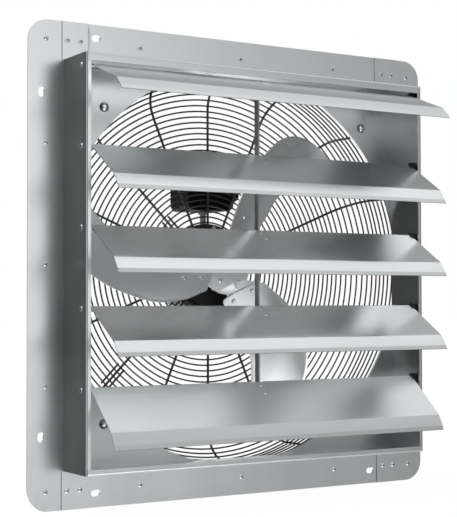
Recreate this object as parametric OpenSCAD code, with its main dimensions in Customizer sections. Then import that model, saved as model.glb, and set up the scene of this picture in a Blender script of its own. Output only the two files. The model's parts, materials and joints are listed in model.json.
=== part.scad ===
// Shutter exhaust fan, 16 inch class, for a hole in a wall.
// X runs right and Z runs up as seen from outdoors. Y runs from the outdoor air into the room.
// The origin is the centre of the flange face that bears on the wall, so the housing and
// its louvers stand out on the -Y side and the guard and motor stand out on the +Y side.

/* [Housing] */
// Outside width and height of the square housing
housing_size = 421; // [405:0.5:440]
// How far the housing stands out in front of the wall face
housing_depth = 55.5; // [50:0.5:64]
// Thickness of the housing sheet
sheet = 1.2; // [0.9:0.1:1.5]
// Width of the turned-in front lip of the two side panels
side_lip = 5; // [3:0.5:6]
// Height of the turned-down front lip of the top panel
top_lip = 8.5; // [6:0.5:9]
// Height of the turned-up front lip of the bottom panel
bottom_lip = 6; // [4:0.5:7]

/* [Flange] */
// Width of the flange round the housing
flange_width = 39.5; // [37:0.5:46]
// Radius of the flange corners
flange_corner = 22; // [10:1:28]
// Distance from the housing's outside to the step of each lapped tab
tab_inset = 24.5; // [20:0.5:26]
// Length of each lapped tab
tab_length = 27; // [26:0.5:30]
// Distance from the flange edge to the line of the rivets
rivet_edge = 19.5; // [18:0.5:21]
// Spacing of the rivets along each side
rivet_pitch = 124; // [110:1:130]
// Distance from the flange edge to the line of the wall bolt slots
slot_edge = 14.5; // [13:0.5:16]
// Distance of each slot from the housing's outside, along its side
slot_inset = 35.5; // [34:0.5:50]
// Width of each wall bolt slot
slot_width = 6.5; // [5.5:0.1:7]
// End-to-end length of each wall bolt slot
slot_length = 10; // [8:0.5:12]

/* [Fan opening] */
// How much the radius of the round opening is more than half the housing
orifice_over = 5.8; // [0:0.1:7]
// Thickness of the rear panel
panel_sheet = 1; // [0.8:0.1:1.5]
// Depth of the turned edge round the opening
orifice_collar = 3; // [2:0.2:3.4]
// Distance from the opening's edge to each guard bolt
guard_bolt_gap = 17; // [16.5:0.5:22]

/* [Louvers] */
// Gap between each louver end and the side wall
louver_end_gap = 7.3; // [5:0.1:12]
// Distance from the top panel down to the top hinge line
top_pin_room = 11.3; // [10:0.1:14]
// Distance from the bottom panel up to the lowest hinge line
bottom_pin_room = 82.5; // [82:0.1:90]
// Distance of the hinge lines behind the front of the housing
pin_setback = 11.5; // [10:0.5:13]
// Thickness of the louver sheet
louver_sheet = 0.8; // [0.6:0.1:1]
// How far a closed louver laps over the hinge of the next one
louver_lap = 0.8; // [0:0.1:2]
// Width of the stiffening lip below the flat part
lip_width = 14; // [12:0.5:15]
// Turn of the lip away from the flat part
lip_turn = 14; // [8:1:20]
// Width of the narrow edge below the lip
edge_width = 4.5; // [3:0.5:5]
// Turn of the narrow edge away from the lip
edge_turn = 20; // [10:1:28]
// How far louver 1 stands open, measured from hanging straight down
open_top = 70; // [60:1:75]
// How far louvers 2, 3 and 4 stand open
open_middle = 58.7; // [45:0.1:65]
// How far louver 5 stands open
open_bottom = 50.4; // [40:0.1:60]

/* [Hinge pins and linkage] */
// Diameter of the hinge pins
pin_diameter = 4; // [3.6:0.1:4.4]
// Radial clearance of a louver's rolled hinge on its pins
hinge_clearance = 0.05; // [0.03:0.01:0.1]
// Diameter of the black bushes between louver and wall
bush_diameter = 12; // [10:0.5:13]
// Distance from a hinge line to its linkage stud
crank_radius = 12; // [11:0.5:13]
// Angle from the louver's flat part to the line from hinge to stud
crank_angle = 255; // [252:1:258]
// Diameter of the linkage studs
stud_diameter = 4; // [3.6:0.1:4.4]
// Width of the tie bar
bar_width = 8; // [7.5:0.5:9]
// Thickness of the tie bar
bar_thick = 1.6; // [1.2:0.1:2]
// Diameter of the two end holes, which give the end louvers their free play
end_hole = 8; // [7.8:0.1:8.4]

/* [Fan wheel] */
// Gap between the blade tips and the edge of the opening, along the radius
tip_gap = 14.3; // [12:0.1:20]
// Distance of the wheel's middle plane behind the wall face
wheel_y = 30; // [26:0.5:34]
// Pitch of the blades across their width
blade_pitch = 24; // [18:1:28]
// Direction of the first blade as seen from outdoors, counter-clockwise from right
first_blade = 58; // [0:1:119]
// Thickness of the blades
blade_sheet = 1.2; // [1:0.1:1.6]
// Radius of the hollow curve pressed across each blade
camber_radius = 150; // [120:1:260]

/* [Guard] */
// Distance of the flat rings of the guard behind the wall face
guard_y = 76; // [74:0.5:80]
// Number of steps from the first to the last ring of the flat field
ring_steps = 20; // [16:1:24]
// Thickness of the ring wire
ring_wire = 2.2; // [1.8:0.1:2.4]
// Thickness of the spoke wire
spoke_wire = 2.8; // [2.4:0.1:3.2]
// Number of spokes
spoke_count = 16; // [8:8:24]

/* [Motor and wiring box] */
// Radius of the motor casing
motor_radius = 43; // [41:0.5:43]
// Distance of the motor's front behind the wall face
motor_y = 60; // [58:0.5:62]
// Length of the motor casing
motor_length = 88; // [84:1:100]
// Diameter of the motor shaft
shaft_diameter = 10; // [9:0.5:12]
// Width of the wiring box
box_width = 60; // [58:1:70]
// Height of the wiring box
box_height = 56; // [52:1:60]
// Depth of the wiring box
box_depth = 42; // [42:1:48]

/* [Hidden] */
$fn = 64;
louver_count = 5;
gap = 0.3;
half = housing_size / 2;
inner = half - sheet;
flange_half = half + flange_width;
strip_half = half - tab_inset;
rivet_line = flange_half - rivet_edge;
slot_line = flange_half - slot_edge;
slot_offset = half - slot_inset;
orifice_radius = half + orifice_over;
guard_bolt_offset = (orifice_radius + guard_bolt_gap) / sqrt(2);
louver_half = inner - louver_end_gap;
pin_pitch = (2 * inner - top_pin_room - bottom_pin_room) / (louver_count - 1);
flat_width = pin_pitch + louver_lap - lip_width - edge_width;
tip_radius = orifice_radius - tip_gap;
pin_y = pin_setback - housing_depth;
curl_inner = pin_diameter / 2 + hinge_clearance;
curl_outer = curl_inner + louver_sheet;
bend_out = 2;
frame_grey = [0.75, 0.76, 0.77];
louver_grey = [0.72, 0.73, 0.74];
blade_grey = [0.8, 0.81, 0.82];
steel = [0.62, 0.63, 0.65];
dark_steel = [0.38, 0.38, 0.39];
black = [0.06, 0.06, 0.065];
panel_back = sheet + panel_sheet;

// Rows of rivets along each side of the flange, and the two rivets in each lapped tab
column_steps = [-rivet_line, -rivet_pitch, 0, rivet_pitch, rivet_line];
row_steps = [-rivet_pitch, 0, rivet_pitch];
tab_rivet_1 = strip_half + 7;
tab_rivet_2 = strip_half + 21.5;
tab_steps = [-tab_rivet_2, -tab_rivet_1, tab_rivet_1, tab_rivet_2];
rivet_hole = 1.7;
rivet_head = 2.6;

// Which piece is drawn

// Draws a flat outline, given in X and Z, as a plate from y0 towards +Y
module plate_y(y0, thick) {
  translate([0, y0 + thick, 0])
    rotate([90, 0, 0])
      linear_extrude(height = thick)
        children();
}

// A round bar along Y from y0 to y1
module rod_y(r, y0, y1) {
  translate([0, y0, 0])
    rotate([-90, 0, 0])
      cylinder(r = r, h = y1 - y0);
}

// A round bar along X from x0 to x1
module rod_x(r, x0, x1) {
  translate([x0, 0, 0])
    rotate([0, 90, 0])
      cylinder(r = r, h = x1 - x0);
}

// A shallow domed head of radius r that stands h above the plane z = 0
module dome(r, h) {
  ball = (r * r + h * h) / (2 * h);
  intersection() {
    translate([0, 0, h - ball])
      sphere(r = ball);
    cylinder(r = r, h = h + 1);
  }
}

// A square with rounded corners
module rounded_square(size, r) {
  inset = size / 2 - r;
  difference() {
    square(size, center = true);
    for (a = [0 : 90 : 270])
      rotate(a)
        translate([inset, inset])
          difference() {
            square(r + 1);
            circle(r);
          }
  }
}

// One oblong slot with its long way along X
module slot_flat() {
  straight = slot_length - slot_width;
  square([straight, slot_width], center = true);
  for (s = [-1, 1])
    translate([s * straight / 2, 0])
      circle(d = slot_width);
}

// All wall bolt slots: two in each side panel, two in the bottom panel, one top left
module wall_slots() {
  for (s = [-1, 1])
    for (t = [-1, 1])
      translate([s * slot_line, t * slot_offset])
        rotate(90)
          slot_flat();
  for (s = [-1, 1])
    translate([s * slot_offset, -slot_line])
      slot_flat();
  translate([-slot_offset, slot_line])
    slot_flat();
}

// All flange rivet holes
module rivet_holes() {
  for (s = [-1, 1]) {
    for (t = column_steps)
      translate([s * rivet_line, t])
        circle(rivet_hole);
    for (t = concat(row_steps, tab_steps))
      translate([t, s * rivet_line])
        circle(rivet_hole);
  }
}

// A bent strip in section: one leg along +x, one along +y, rounded outside corner
module angle_section(leg_x, leg_y, t) {
  translate([bend_out, 0])
    square([leg_x - bend_out, t]);
  translate([0, bend_out])
    square([t, leg_y - bend_out]);
  intersection() {
    square(bend_out);
    translate([bend_out, bend_out])
      difference() {
        circle(bend_out);
        circle(bend_out - t);
      }
  }
}

// A side panel: flange strip with two rounded corner tabs, wall and front lip
module side_panel() {
  plate_y(0, sheet)
    difference() {
      intersection() {
        rounded_square(2 * flange_half, flange_corner);
        union() {
          translate([-flange_half, -flange_half])
            square([flange_width + sheet, 2 * flange_half]);
          for (s = [0, 1])
            mirror([0, s])
              translate([-flange_half, half + gap])
                square([flange_half - strip_half, flange_width]);
        }
      }
      wall_slots();
      rivet_holes();
      for (s = [0, 1])
        mirror([0, s])
          translate([-half, half])
            square([sheet + 0.1, gap]);
    }
  difference() {
    translate([-half, -housing_depth, -half])
      linear_extrude(height = housing_size)
        angle_section(side_lip, housing_depth + sheet / 2, sheet);
    for (i = [0 : louver_count - 1])
      translate([0, pin_y, pin_height(i)])
        rod_x(bush_neck / 2, -half - 1, -inner + 1);
    lip_cut(half - top_lip - gap);
    mirror([0, 0, 1])
      lip_cut(half - bottom_lip - gap);
  }
}

// What is cut from a side panel's front lip above the height given, to clear the other lips
module lip_cut(height) {
  translate([-inner, -housing_depth - 1, height])
    cube([side_lip, bend_out + sheet + 1, half - height + 1]);
}

function pin_height(i) = inner - top_pin_room - i * pin_pitch;
bush_neck = pin_diameter + 3;

module left_side_panel() {
  color(frame_grey)
    side_panel();
}

module right_side_panel() {
  color(frame_grey)
    mirror([1, 0, 0])
      side_panel();
}

// A top or bottom panel: strip with two stepped tabs, wall and front lip of the height given
module strip_panel(lip, slots_mirrored) {
  strip_gap = strip_half - 0.4;
  difference() {
    union() {
      plate_y(0, sheet)
        translate([-strip_gap, half - sheet])
          square([2 * strip_gap, flange_width + sheet]);
      for (s = [0, 1])
        mirror([s, 0, 0]) {
          plate_y(-sheet, sheet)
            translate([strip_gap - sheet, half + gap])
              square([tab_length + sheet + 0.4, flange_width - gap]);
          plate_y(-sheet, 2 * sheet)
            translate([strip_gap - sheet, half + gap])
              square([sheet, flange_width - gap]);
        }
      translate([-inner + gap, 0, 0])
        rotate([90, 0, 90])
          linear_extrude(height = 2 * (inner - gap))
            translate([-housing_depth, half])
              mirror([0, 1])
                angle_section(housing_depth + sheet / 2, lip, sheet);
    }
    plate_y(-2 * sheet, 4 * sheet) {
      rivet_holes();
      mirror([0, slots_mirrored])
        wall_slots();
    }
  }
}

module top_panel() {
  color(frame_grey)
    strip_panel(top_lip, 0);
}

module bottom_panel() {
  color(frame_grey)
    mirror([0, 0, 1])
      strip_panel(bottom_lip, 1);
}

// The rear panel with the round fan opening and the guard bolt holes
module venturi_panel() {
  color(frame_grey) {
    plate_y(sheet, panel_sheet)
      difference() {
        rounded_square(2 * flange_half - 3, flange_corner - 1.5);
        circle(orifice_radius);
        wall_slots();
        rivet_holes();
        for (a = [0 : 90 : 270])
          rotate(a)
            translate([guard_bolt_offset, guard_bolt_offset])
              circle(2.7);
      }
    rotate([90, 0, 0])
      translate([0, 0, -sheet - orifice_collar])
        linear_extrude(height = orifice_collar)
          difference() {
            circle(orifice_radius + panel_sheet);
            circle(orifice_radius);
          }
  }
}

// One flange rivet, its head standing out in front of y = front
module flange_rivet(front) {
  rotate([90, 0, 0]) {
    translate([0, 0, -front])
      dome(rivet_head, 1.1);
    translate([0, 0, -panel_back - 0.1])
      cylinder(r = rivet_hole - 0.1, h = panel_back + 0.1 - front + 0.2);
    translate([0, 0, -panel_back - 1.3])
      cylinder(r = rivet_hole + 0.7, h = 1.3);
  }
}

module frame_rivets() {
  color(steel)
    for (s = [-1, 1]) {
      for (t = column_steps)
        translate([s * rivet_line, 0, t])
          flange_rivet(0);
      for (t = row_steps)
        translate([t, 0, s * rivet_line])
          flange_rivet(0);
      for (t = tab_steps)
        translate([t, 0, s * rivet_line])
          flange_rivet(-sheet);
    }
}

pin_reach = 14;

// Fixed hinge pins: a domed head outside each side wall, a shank that runs into the louver
module hinge_pins() {
  color(steel)
    for (i = [0 : louver_count - 1])
      for (s = [0, 1])
        mirror([s, 0, 0])
          translate([0, pin_y, pin_height(i)]) {
            rod_x(pin_diameter / 2, -half - 0.5, -louver_half + pin_reach);
            translate([-half, 0, 0])
              rotate([0, -90, 0])
                dome(pin_diameter / 2 + 1.2, 1.5);
          }
}

// Black bushes: a neck in the wall's hole and a spacer between wall and louver
module hinge_bushes() {
  color(black)
    for (i = [0 : louver_count - 1])
      for (s = [0, 1])
        mirror([s, 0, 0])
          translate([0, pin_y, pin_height(i)])
            difference() {
              union() {
                rod_x(bush_neck / 2 - 0.05, -half, -inner + 0.5);
                rod_x(bush_diameter / 2, -inner, -louver_half - 0.7);
              }
              rod_x(pin_diameter / 2 + 0.05, -half - 1, -louver_half);
            }
}

// How far each louver stands open
function open_angle(k) = k == 1 ? open_top : k == 5 ? open_bottom : open_middle;

// Places a louver's own frame at its hinge: x runs down the louver, y out of its
// weather face and z towards -X
module louver_place(k) {
  translate([0, pin_y, pin_height(k - 1)])
    rotate([180 - open_angle(k), 0, 0])
      rotate([0, -90, 0])
        children();
}

// Section of a louver: rolled hinge, flat part, lip and narrow edge
module louver_section() {
  difference() {
    circle(curl_outer);
    circle(curl_inner);
    polygon([[0, 0], [curl_outer + 1, -0.6], [curl_outer + 1, curl_inner], [0.3, curl_inner]]);
  }
  translate([0, curl_inner])
    square([flat_width, louver_sheet]);
  translate([flat_width, curl_outer])
    rotate(-lip_turn) {
      translate([0, -louver_sheet])
        square([lip_width, louver_sheet]);
      translate([lip_width, 0])
        rotate(-edge_turn)
          translate([0, -louver_sheet])
            square([edge_width, louver_sheet]);
    }
}

crank_plate = 8;
crank_start = 3.4;
crank_length = 20;
crank_hole_1 = 7;
crank_hole_2 = 18.5;
crank_face = 1.1;
crank_sheet = 1.2;

// One louver, its rolled hinge cut away in the middle for the linkage crank
module louver(k) {
  color(louver_grey)
    louver_place(k)
      difference() {
        translate([0, 0, -louver_half])
          linear_extrude(height = 2 * louver_half)
            louver_section();
        translate([-curl_outer - 1, -curl_outer - 1, crank_face - 3])
          cube([2 * curl_outer + 2, 2 * curl_outer + 2 - louver_sheet - 1, crank_plate + 6]);
        for (a = [crank_hole_1, crank_hole_2])
          translate([a, 0, crank_face + crank_plate / 2])
            rotate([-90, 0, 0])
              cylinder(r = 1.6, h = 6);
      }
}

module louver_1() { louver(1); }
module louver_2() { louver(2); }
module louver_3() { louver(3); }
module louver_4() { louver(4); }
module louver_5() { louver(5); }

// Where a louver's linkage stud is, in the louver's own frame. The end louvers' studs
// stand where the middle louvers' studs stand, so all five meet the straight bar.
function stud_turn(k) = crank_angle + open_middle - open_angle(k);
function stud_x(k) = crank_radius * cos(stud_turn(k));
function stud_y(k) = crank_radius * sin(stud_turn(k));

// The end louvers' studs have wide heads, because the bar's end holes are wide
function stud_head(k) = k == 1 || k == louver_count ? end_hole / 2 + 1.3 : stud_diameter / 2 + 1.3;

// A crank: a plate under the louver and an ear that carries the stud
module crank(k) {
  color(steel)
    louver_place(k) {
      difference() {
        translate([crank_start, curl_inner - crank_sheet, crank_face])
          cube([crank_length, crank_sheet, crank_plate]);
        for (a = [crank_hole_1, crank_hole_2])
          translate([a, -2, crank_face + crank_plate / 2])
            rotate([-90, 0, 0])
              cylinder(r = 1.6, h = 8);
      }
      translate([0, 0, crank_face])
        linear_extrude(height = crank_sheet)
          ear_outline(k);
      translate([stud_x(k), stud_y(k), crank_face - bar_thick - 2.2])
        cylinder(d = stud_diameter, h = bar_thick + 2.4);
      translate([stud_x(k), stud_y(k), crank_face - bar_thick - 1.6])
        cylinder(r = stud_head(k), h = 0.9);
    }
}

// Outline of a crank's ear in the louver's own frame
module ear_outline(k) {
  eye = 4;
  grip = 3.7;
  side_x = grip * cos(stud_turn(k) - 90);
  side_y = grip * sin(stud_turn(k) - 90);
  translate([stud_x(k), stud_y(k)])
    circle(eye);
  polygon([
    [stud_x(k) + side_x, stud_y(k) + side_y],
    [5, curl_inner],
    [crank_start + crank_length, curl_inner],
    [stud_x(k) - side_x, stud_y(k) - side_y]
  ]);
}

module crank_1() { crank(1); }
module crank_2() { crank(2); }
module crank_3() { crank(3); }
module crank_4() { crank(4); }
module crank_5() { crank(5); }

// The two rivets that hold a crank under its louver
module crank_rivets(k) {
  color(steel)
    louver_place(k)
      for (a = [crank_hole_1, crank_hole_2])
        translate([a, 0, crank_face + crank_plate / 2])
          rotate([-90, 0, 0]) {
            translate([0, 0, curl_outer])
              dome(2.6, 1.1);
            translate([0, 0, curl_inner - crank_sheet - 0.1])
              cylinder(r = 1.5, h = louver_sheet + crank_sheet + 0.3);
            translate([0, 0, curl_inner - crank_sheet - 0.9])
              cylinder(r = 2.3, h = 0.9);
          }
}

module crank_rivets_1() { crank_rivets(1); }
module crank_rivets_2() { crank_rivets(2); }
module crank_rivets_3() { crank_rivets(3); }
module crank_rivets_4() { crank_rivets(4); }
module crank_rivets_5() { crank_rivets(5); }

bar_x = -crank_face + 0.15;
bar_y = pin_y - crank_radius * sin(crank_angle + open_middle);
bar_stud_drop = -crank_radius * cos(crank_angle + open_middle);
end_eye = end_hole / 2 + 2.6;
end_shift_y = 0.2;
end_shift_z = 1.15;

// Outline of the tie bar in Y and Z, its middle holes on the studs of louvers 2, 3 and 4
module tie_bar_outline() {
  top = pin_height(0) + bar_stud_drop;
  low = pin_height(louver_count - 1) + bar_stud_drop;
  difference() {
    union() {
      translate([bar_y - bar_width / 2, low])
        square([bar_width, top - low]);
      translate([bar_y - end_shift_y, top + end_shift_z])
        circle(end_eye);
      translate([bar_y + end_shift_y, low - end_shift_z])
        circle(end_eye);
    }
    translate([bar_y - end_shift_y, top + end_shift_z])
      circle(end_hole / 2);
    translate([bar_y + end_shift_y, low - end_shift_z])
      circle(end_hole / 2);
    for (i = [1 : louver_count - 2])
      translate([bar_y, pin_height(i) + bar_stud_drop])
        circle(d = stud_diameter + 0.1);
  }
}

module tie_bar() {
  color(dark_steel)
    translate([bar_x, 0, 0])
      rotate([90, 0, 90])
        linear_extrude(height = bar_thick)
          tie_bar_outline();
}

// The guard: a flat field of rings, a rounded shoulder and a straight wall of rings
shoulder = 38;
shoulder_angles = [10 : 10 : 90];
shoulder_y = guard_y - shoulder;
wall_ring_radius = orifice_radius + 3.1;
first_ring = 53.4;
last_ring = wall_ring_radius - shoulder;
ring_pitch = (last_ring - first_ring) / ring_steps;
wall_rings = 4;
wire_step = (ring_wire + spoke_wire) / 2 - 0.25;
spoke_start = 45;
spoke_wall_radius = wall_ring_radius - wire_step;
base_wire = 3.4;
base_ring_y = panel_back + 2.1 + base_wire / 2 - 0.05;
base_ring_radius = spoke_wall_radius + (spoke_wire + base_wire) / 2 - 0.2;

module ring(r, y, wire) {
  translate([0, y, 0])
    rotate([90, 0, 0])
      rotate_extrude()
        translate([r, 0])
          circle(d = wire);
}

module guard_face_rings() {
  color(black)
    for (i = [0 : ring_steps])
      ring(first_ring + i * ring_pitch, guard_y, ring_wire);
}

module guard_rim_rings() {
  color(black) {
    for (a = shoulder_angles)
      ring(last_ring + shoulder * sin(a), shoulder_y + shoulder * cos(a), ring_wire);
    for (i = [1 : wall_rings - 1])
      ring(
        wall_ring_radius,
        shoulder_y - (shoulder_y - base_ring_y) * i / wall_rings,
        ring_wire
      );
    ring(base_ring_radius, base_ring_y, base_wire);
  }
}

module at_spokes() {
  for (i = [0 : spoke_count - 1])
    rotate([0, i * 360 / spoke_count, 0])
      children();
}

// The lower part of one spoke: a quarter bend at the shoulder, then straight to the base ring
module rim_spoke() {
  translate([last_ring, shoulder_y, 0])
    rotate_extrude(angle = 90)
      translate([shoulder - wire_step, 0])
        circle(d = spoke_wire);
  translate([spoke_wall_radius, 0, 0])
    rod_y(spoke_wire / 2, base_ring_y - 0.5, shoulder_y);
}

brace_offset = 5;

// A short brace beside a diagonal spoke, offset sideways, on the flat field
module brace(side, r0, r1) {
  translate([0, guard_y - wire_step + 0.1, side])
    rod_x(spoke_wire / 2 - 0.2, r0, r1);
}

// The straight upper parts of the spokes, just inside the flat rings, and the braces
module guard_spokes() {
  color(black) {
    at_spokes()
      translate([0, guard_y - wire_step, 0])
        rod_x(spoke_wire / 2, spoke_start, last_ring);
    for (i = [0 : 3])
      rotate([0, 45 + 90 * i, 0])
        for (side = [-brace_offset, brace_offset]) {
          brace(side, spoke_start + 0.6, first_ring + 3.8 * ring_pitch);
          brace(side, last_ring - 4.1 * ring_pitch, last_ring + 3.6);
        }
  }
}

module guard_rim_spokes() {
  color(black)
    at_spokes()
      rim_spoke();
}

foot_radius = guard_bolt_offset * sqrt(2);

// Four flat feet under the guard's base ring, each with a bolt hole
module guard_feet() {
  color(black)
    for (i = [0 : 3])
      rotate([0, 45 + 90 * i, 0])
        plate_y(panel_back + 0.1, 2)
          difference() {
            union() {
              translate([foot_radius, 0])
                circle(9);
              translate([base_ring_radius - 1.6, -9])
                square([foot_radius - base_ring_radius + 1.6, 18]);
            }
            translate([foot_radius, 0])
              circle(2.7);
          }
}

module at_guard_bolts() {
  for (a = [0 : 90 : 270])
    rotate([0, a, 0])
      translate([guard_bolt_offset, 0, guard_bolt_offset])
        children();
}

// Bolts with domed heads inside the housing
module guard_bolts() {
  color(steel)
    at_guard_bolts() {
      rod_y(2.5, sheet - 0.5, panel_back + 10);
      translate([0, sheet, 0])
        rotate([90, 0, 0])
          dome(5.2, 3.2);
    }
}

module guard_nuts() {
  color(steel)
    at_guard_bolts()
      translate([0, panel_back + 2.2, 0])
        rotate([-90, 0, 0])
          difference() {
            cylinder(d = 9.2, h = 4, $fn = 6);
            translate([0, 0, -1])
              cylinder(r = 2.53, h = 6);
          }
}

// The motor: a bare steel stack between two black covers
bore_clear = 0.03;
mount_y = guard_y - ring_wire / 2 + 0.2;
mount_thick = 2;
mount_screw_radius = 47;
mount_outer = first_ring - ring_wire / 2 - 0.6;
flange_y = mount_y + mount_thick;
front_cover_back = flange_y + 10;
rear_cover_front = front_cover_back + 22;
rear_cover_back = motor_y + motor_length;
bearing_outer = 13;
bearing_width = 8;
stack_bore = 23;

module at_mount_screws() {
  for (a = [180 / spoke_count : 90 : 359])
    rotate([0, a, 0])
      translate([mount_screw_radius, 0, 0])
        children();
}

// Ring plate welded to the spokes, to which the motor's flange is screwed
module motor_mount_plate() {
  color(black)
    difference() {
      rod_y(mount_outer, mount_y, mount_y + mount_thick);
      rod_y(motor_radius + 0.4, mount_y - 1, mount_y + mount_thick + 1);
      at_mount_screws()
        rod_y(2.2, mount_y - 1, mount_y + mount_thick + 1);
    }
}

module mount_plate_screws() {
  color(dark_steel)
    at_mount_screws() {
      rod_y(2, mount_y - 0.5, flange_y + 7);
      translate([0, mount_y, 0])
        rotate([90, 0, 0])
          dome(3.4, 1.8);
    }
}

module at_through_bolts() {
  for (a = [0 : 90 : 270])
    rotate([0, a, 0])
      translate([motor_radius - 7.5, 0, 0])
        children();
}

module motor_front_cover() {
  color(black)
    difference() {
      union() {
        rod_y(motor_radius - 3, motor_y, motor_y + 1);
        rod_y(motor_radius - 1.5, motor_y + 1, motor_y + 3);
        rod_y(motor_radius, motor_y + 3, front_cover_back);
        rod_y(mount_outer, flange_y, flange_y + 4);
        rod_y(17, motor_y - 3, motor_y + 1);
      }
      rod_y(motor_radius - 3, motor_y + 13, front_cover_back + 1);
      rod_y(bearing_outer, motor_y + 2, motor_y + 14);
      rod_y(shaft_diameter / 2 + 0.6, motor_y - 4, motor_y + 3);
      at_mount_screws()
        rod_y(2.03, flange_y - 1, flange_y + 5);
      at_through_bolts()
        rod_y(2.1, motor_y + 12, front_cover_back + 1);
    }
}

module motor_rear_cover() {
  color(black)
    difference() {
      union() {
        rod_y(motor_radius, rear_cover_front, rear_cover_back - 4);
        rod_y(motor_radius - 3, rear_cover_back - 4, rear_cover_back);
      }
      rod_y(motor_radius - 3, rear_cover_front - 1, rear_cover_back - 14);
      rod_y(bearing_outer, rear_cover_back - 15, rear_cover_back - 4);
      translate([nipple_x, nipple_y, 20])
        cylinder(r = nipple_radius + 0.03, h = 30);
      at_through_bolts()
        rod_y(2.1, rear_cover_front - 1, rear_cover_back + 1);
      for (a = [0 : 30 : 330])
        rotate([0, a + 15, 0])
          translate([motor_radius - 19, rear_cover_back - 16, -1.5])
            cube([12, 20, 3]);
    }
}

module motor_stator() {
  color(steel)
    difference() {
      rod_y(motor_radius, front_cover_back, rear_cover_front);
      rod_y(stack_bore, front_cover_back - 1, rear_cover_front + 1);
      at_through_bolts()
        rod_y(2.1, front_cover_back - 1, rear_cover_front + 1);
    }
}

// Copper end turns, one ring at each end of the stack
module motor_windings() {
  color([0.72, 0.42, 0.2])
    for (y = [front_cover_back - 9.2, rear_cover_front])
      translate([0, y, 0])
        difference() {
          rod_y(stack_bore + 9.5, 0, 9.2);
          rod_y(stack_bore + 1, -1, 11);
        }
}

module motor_through_bolts() {
  color(dark_steel)
    at_through_bolts() {
      rod_y(2, motor_y + 13, rear_cover_back + 0.5);
      rod_y(3.6, rear_cover_back, rear_cover_back + 2.6);
    }
}

module bearing(y) {
  difference() {
    rod_y(bearing_outer - bore_clear, y, y + bearing_width);
    rod_y(shaft_diameter / 2 + bore_clear, y - 1, y + bearing_width + 1);
  }
}

module front_bearing() {
  color(steel)
    bearing(motor_y + 4);
}

module rear_bearing() {
  color(steel)
    bearing(rear_cover_back - 14);
}

module motor_rotor() {
  color(steel)
    difference() {
      rod_y(stack_bore - 0.5, front_cover_back - 4, rear_cover_front + 4);
      rod_y(shaft_diameter / 2, front_cover_back - 5, rear_cover_front + 5);
    }
}

module motor_shaft() {
  color(steel)
    rod_y(shaft_diameter / 2, wheel_y - 6, rear_cover_back - 5);
}

// Fan wheel. A blade's own frame has x along the radius, y across towards the clockwise
// side and z towards the room; the wheel turns about the Y axis.
blade_count = 3;
disc_radius = 30;
disc_thick = 2.5;
pad_thick = 2;
pad_gap = 0.05;
hub_flange = 21;
hub_boss = 12.5;
hub_back = motor_y - 5.5;
camber_middle = 4;
hub_rivet_radius = 17;

module blade_place(i) {
  translate([0, wheel_y, 0])
    rotate([0, -first_blade - i * 360 / blade_count, 0])
      rotate([-90, 0, 0])
        rotate([blade_pitch, 0, 0])
          children();
}

// Part of a curved sheet between two depths behind the hollow face of the blades
module camber_shell(z0, z1) {
  translate([10, camber_middle, -camber_radius])
    rotate([0, 90, 0])
      difference() {
        cylinder(r = camber_radius + z1, h = tip_radius);
        translate([0, 0, -1])
          cylinder(r = camber_radius + z0, h = tip_radius + 2);
      }
}

// A point on a smooth closed curve through the corners p, at corner i, a fraction t onward
function smooth_point(p, i, t) =
  let (
    n = len(p),
    a = p[(i + n - 1) % n],
    b = p[i],
    c = p[(i + 1) % n],
    d = p[(i + 2) % n]
  )
  0.5 * (2 * b + (c - a) * t + (2 * a - 5 * b + 4 * c - d) * t * t
    + (3 * b - a - 3 * c + d) * t * t * t);

function smooth(p, steps) = [
  for (i = [0 : len(p) - 1])
    for (j = [0 : steps - 1])
      smooth_point(p, i, j / steps)
];

wheel_scale = (tip_radius - 2) / 200;
wheel_room = 60;

// Corners of the blade outline: narrow at the root, swept clockwise towards a broad tip
blade_corners = [
  [31, -21], [45, -29], [70, -39], [102, -44], [128, -41.5], [154, -30], [174, -11],
  [187, 12], [192.5, 36], [190, 60], [179, 72], [160, 56], [135, 32], [107, 19],
  [85, 18], [65, 17], [45, 19], [31, 17]
] * wheel_scale;

blade_rivet_spots = [[58, -16], [36, -15], [38, 9]] * wheel_scale;

// A radial line through the curved sheet at a spot given as radius and width
module through_blade(spot) {
  lean = asin((spot[1] - camber_middle) / camber_radius);
  translate([spot[0], camber_middle, -camber_radius])
    rotate([-lean, 0, 0])
      translate([0, 0, camber_radius])
        children();
}

module fan_blade(i) {
  color(blade_grey)
    blade_place(i)
      difference() {
        intersection() {
          translate([0, 0, -wheel_room])
            linear_extrude(height = 2 * wheel_room)
              polygon(smooth(blade_corners, 4));
          camber_shell(0, blade_sheet);
        }
        for (spot = blade_rivet_spots)
          through_blade(spot)
            translate([0, 0, -5])
              cylinder(r = 1.7, h = 12);
      }
}

module fan_blade_1() { fan_blade(0); }
module fan_blade_2() { fan_blade(1); }
module fan_blade_3() { fan_blade(2); }

// Corners of one arm of the spider, which lies behind a blade's root
arm_corners = [
  [20, -9], [28, -22], [42, -24], [60, -23], [66, -16], [60, -8], [47, 2], [46, 12],
  [38, 16], [28, 13], [20, 9]
] * wheel_scale;

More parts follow.
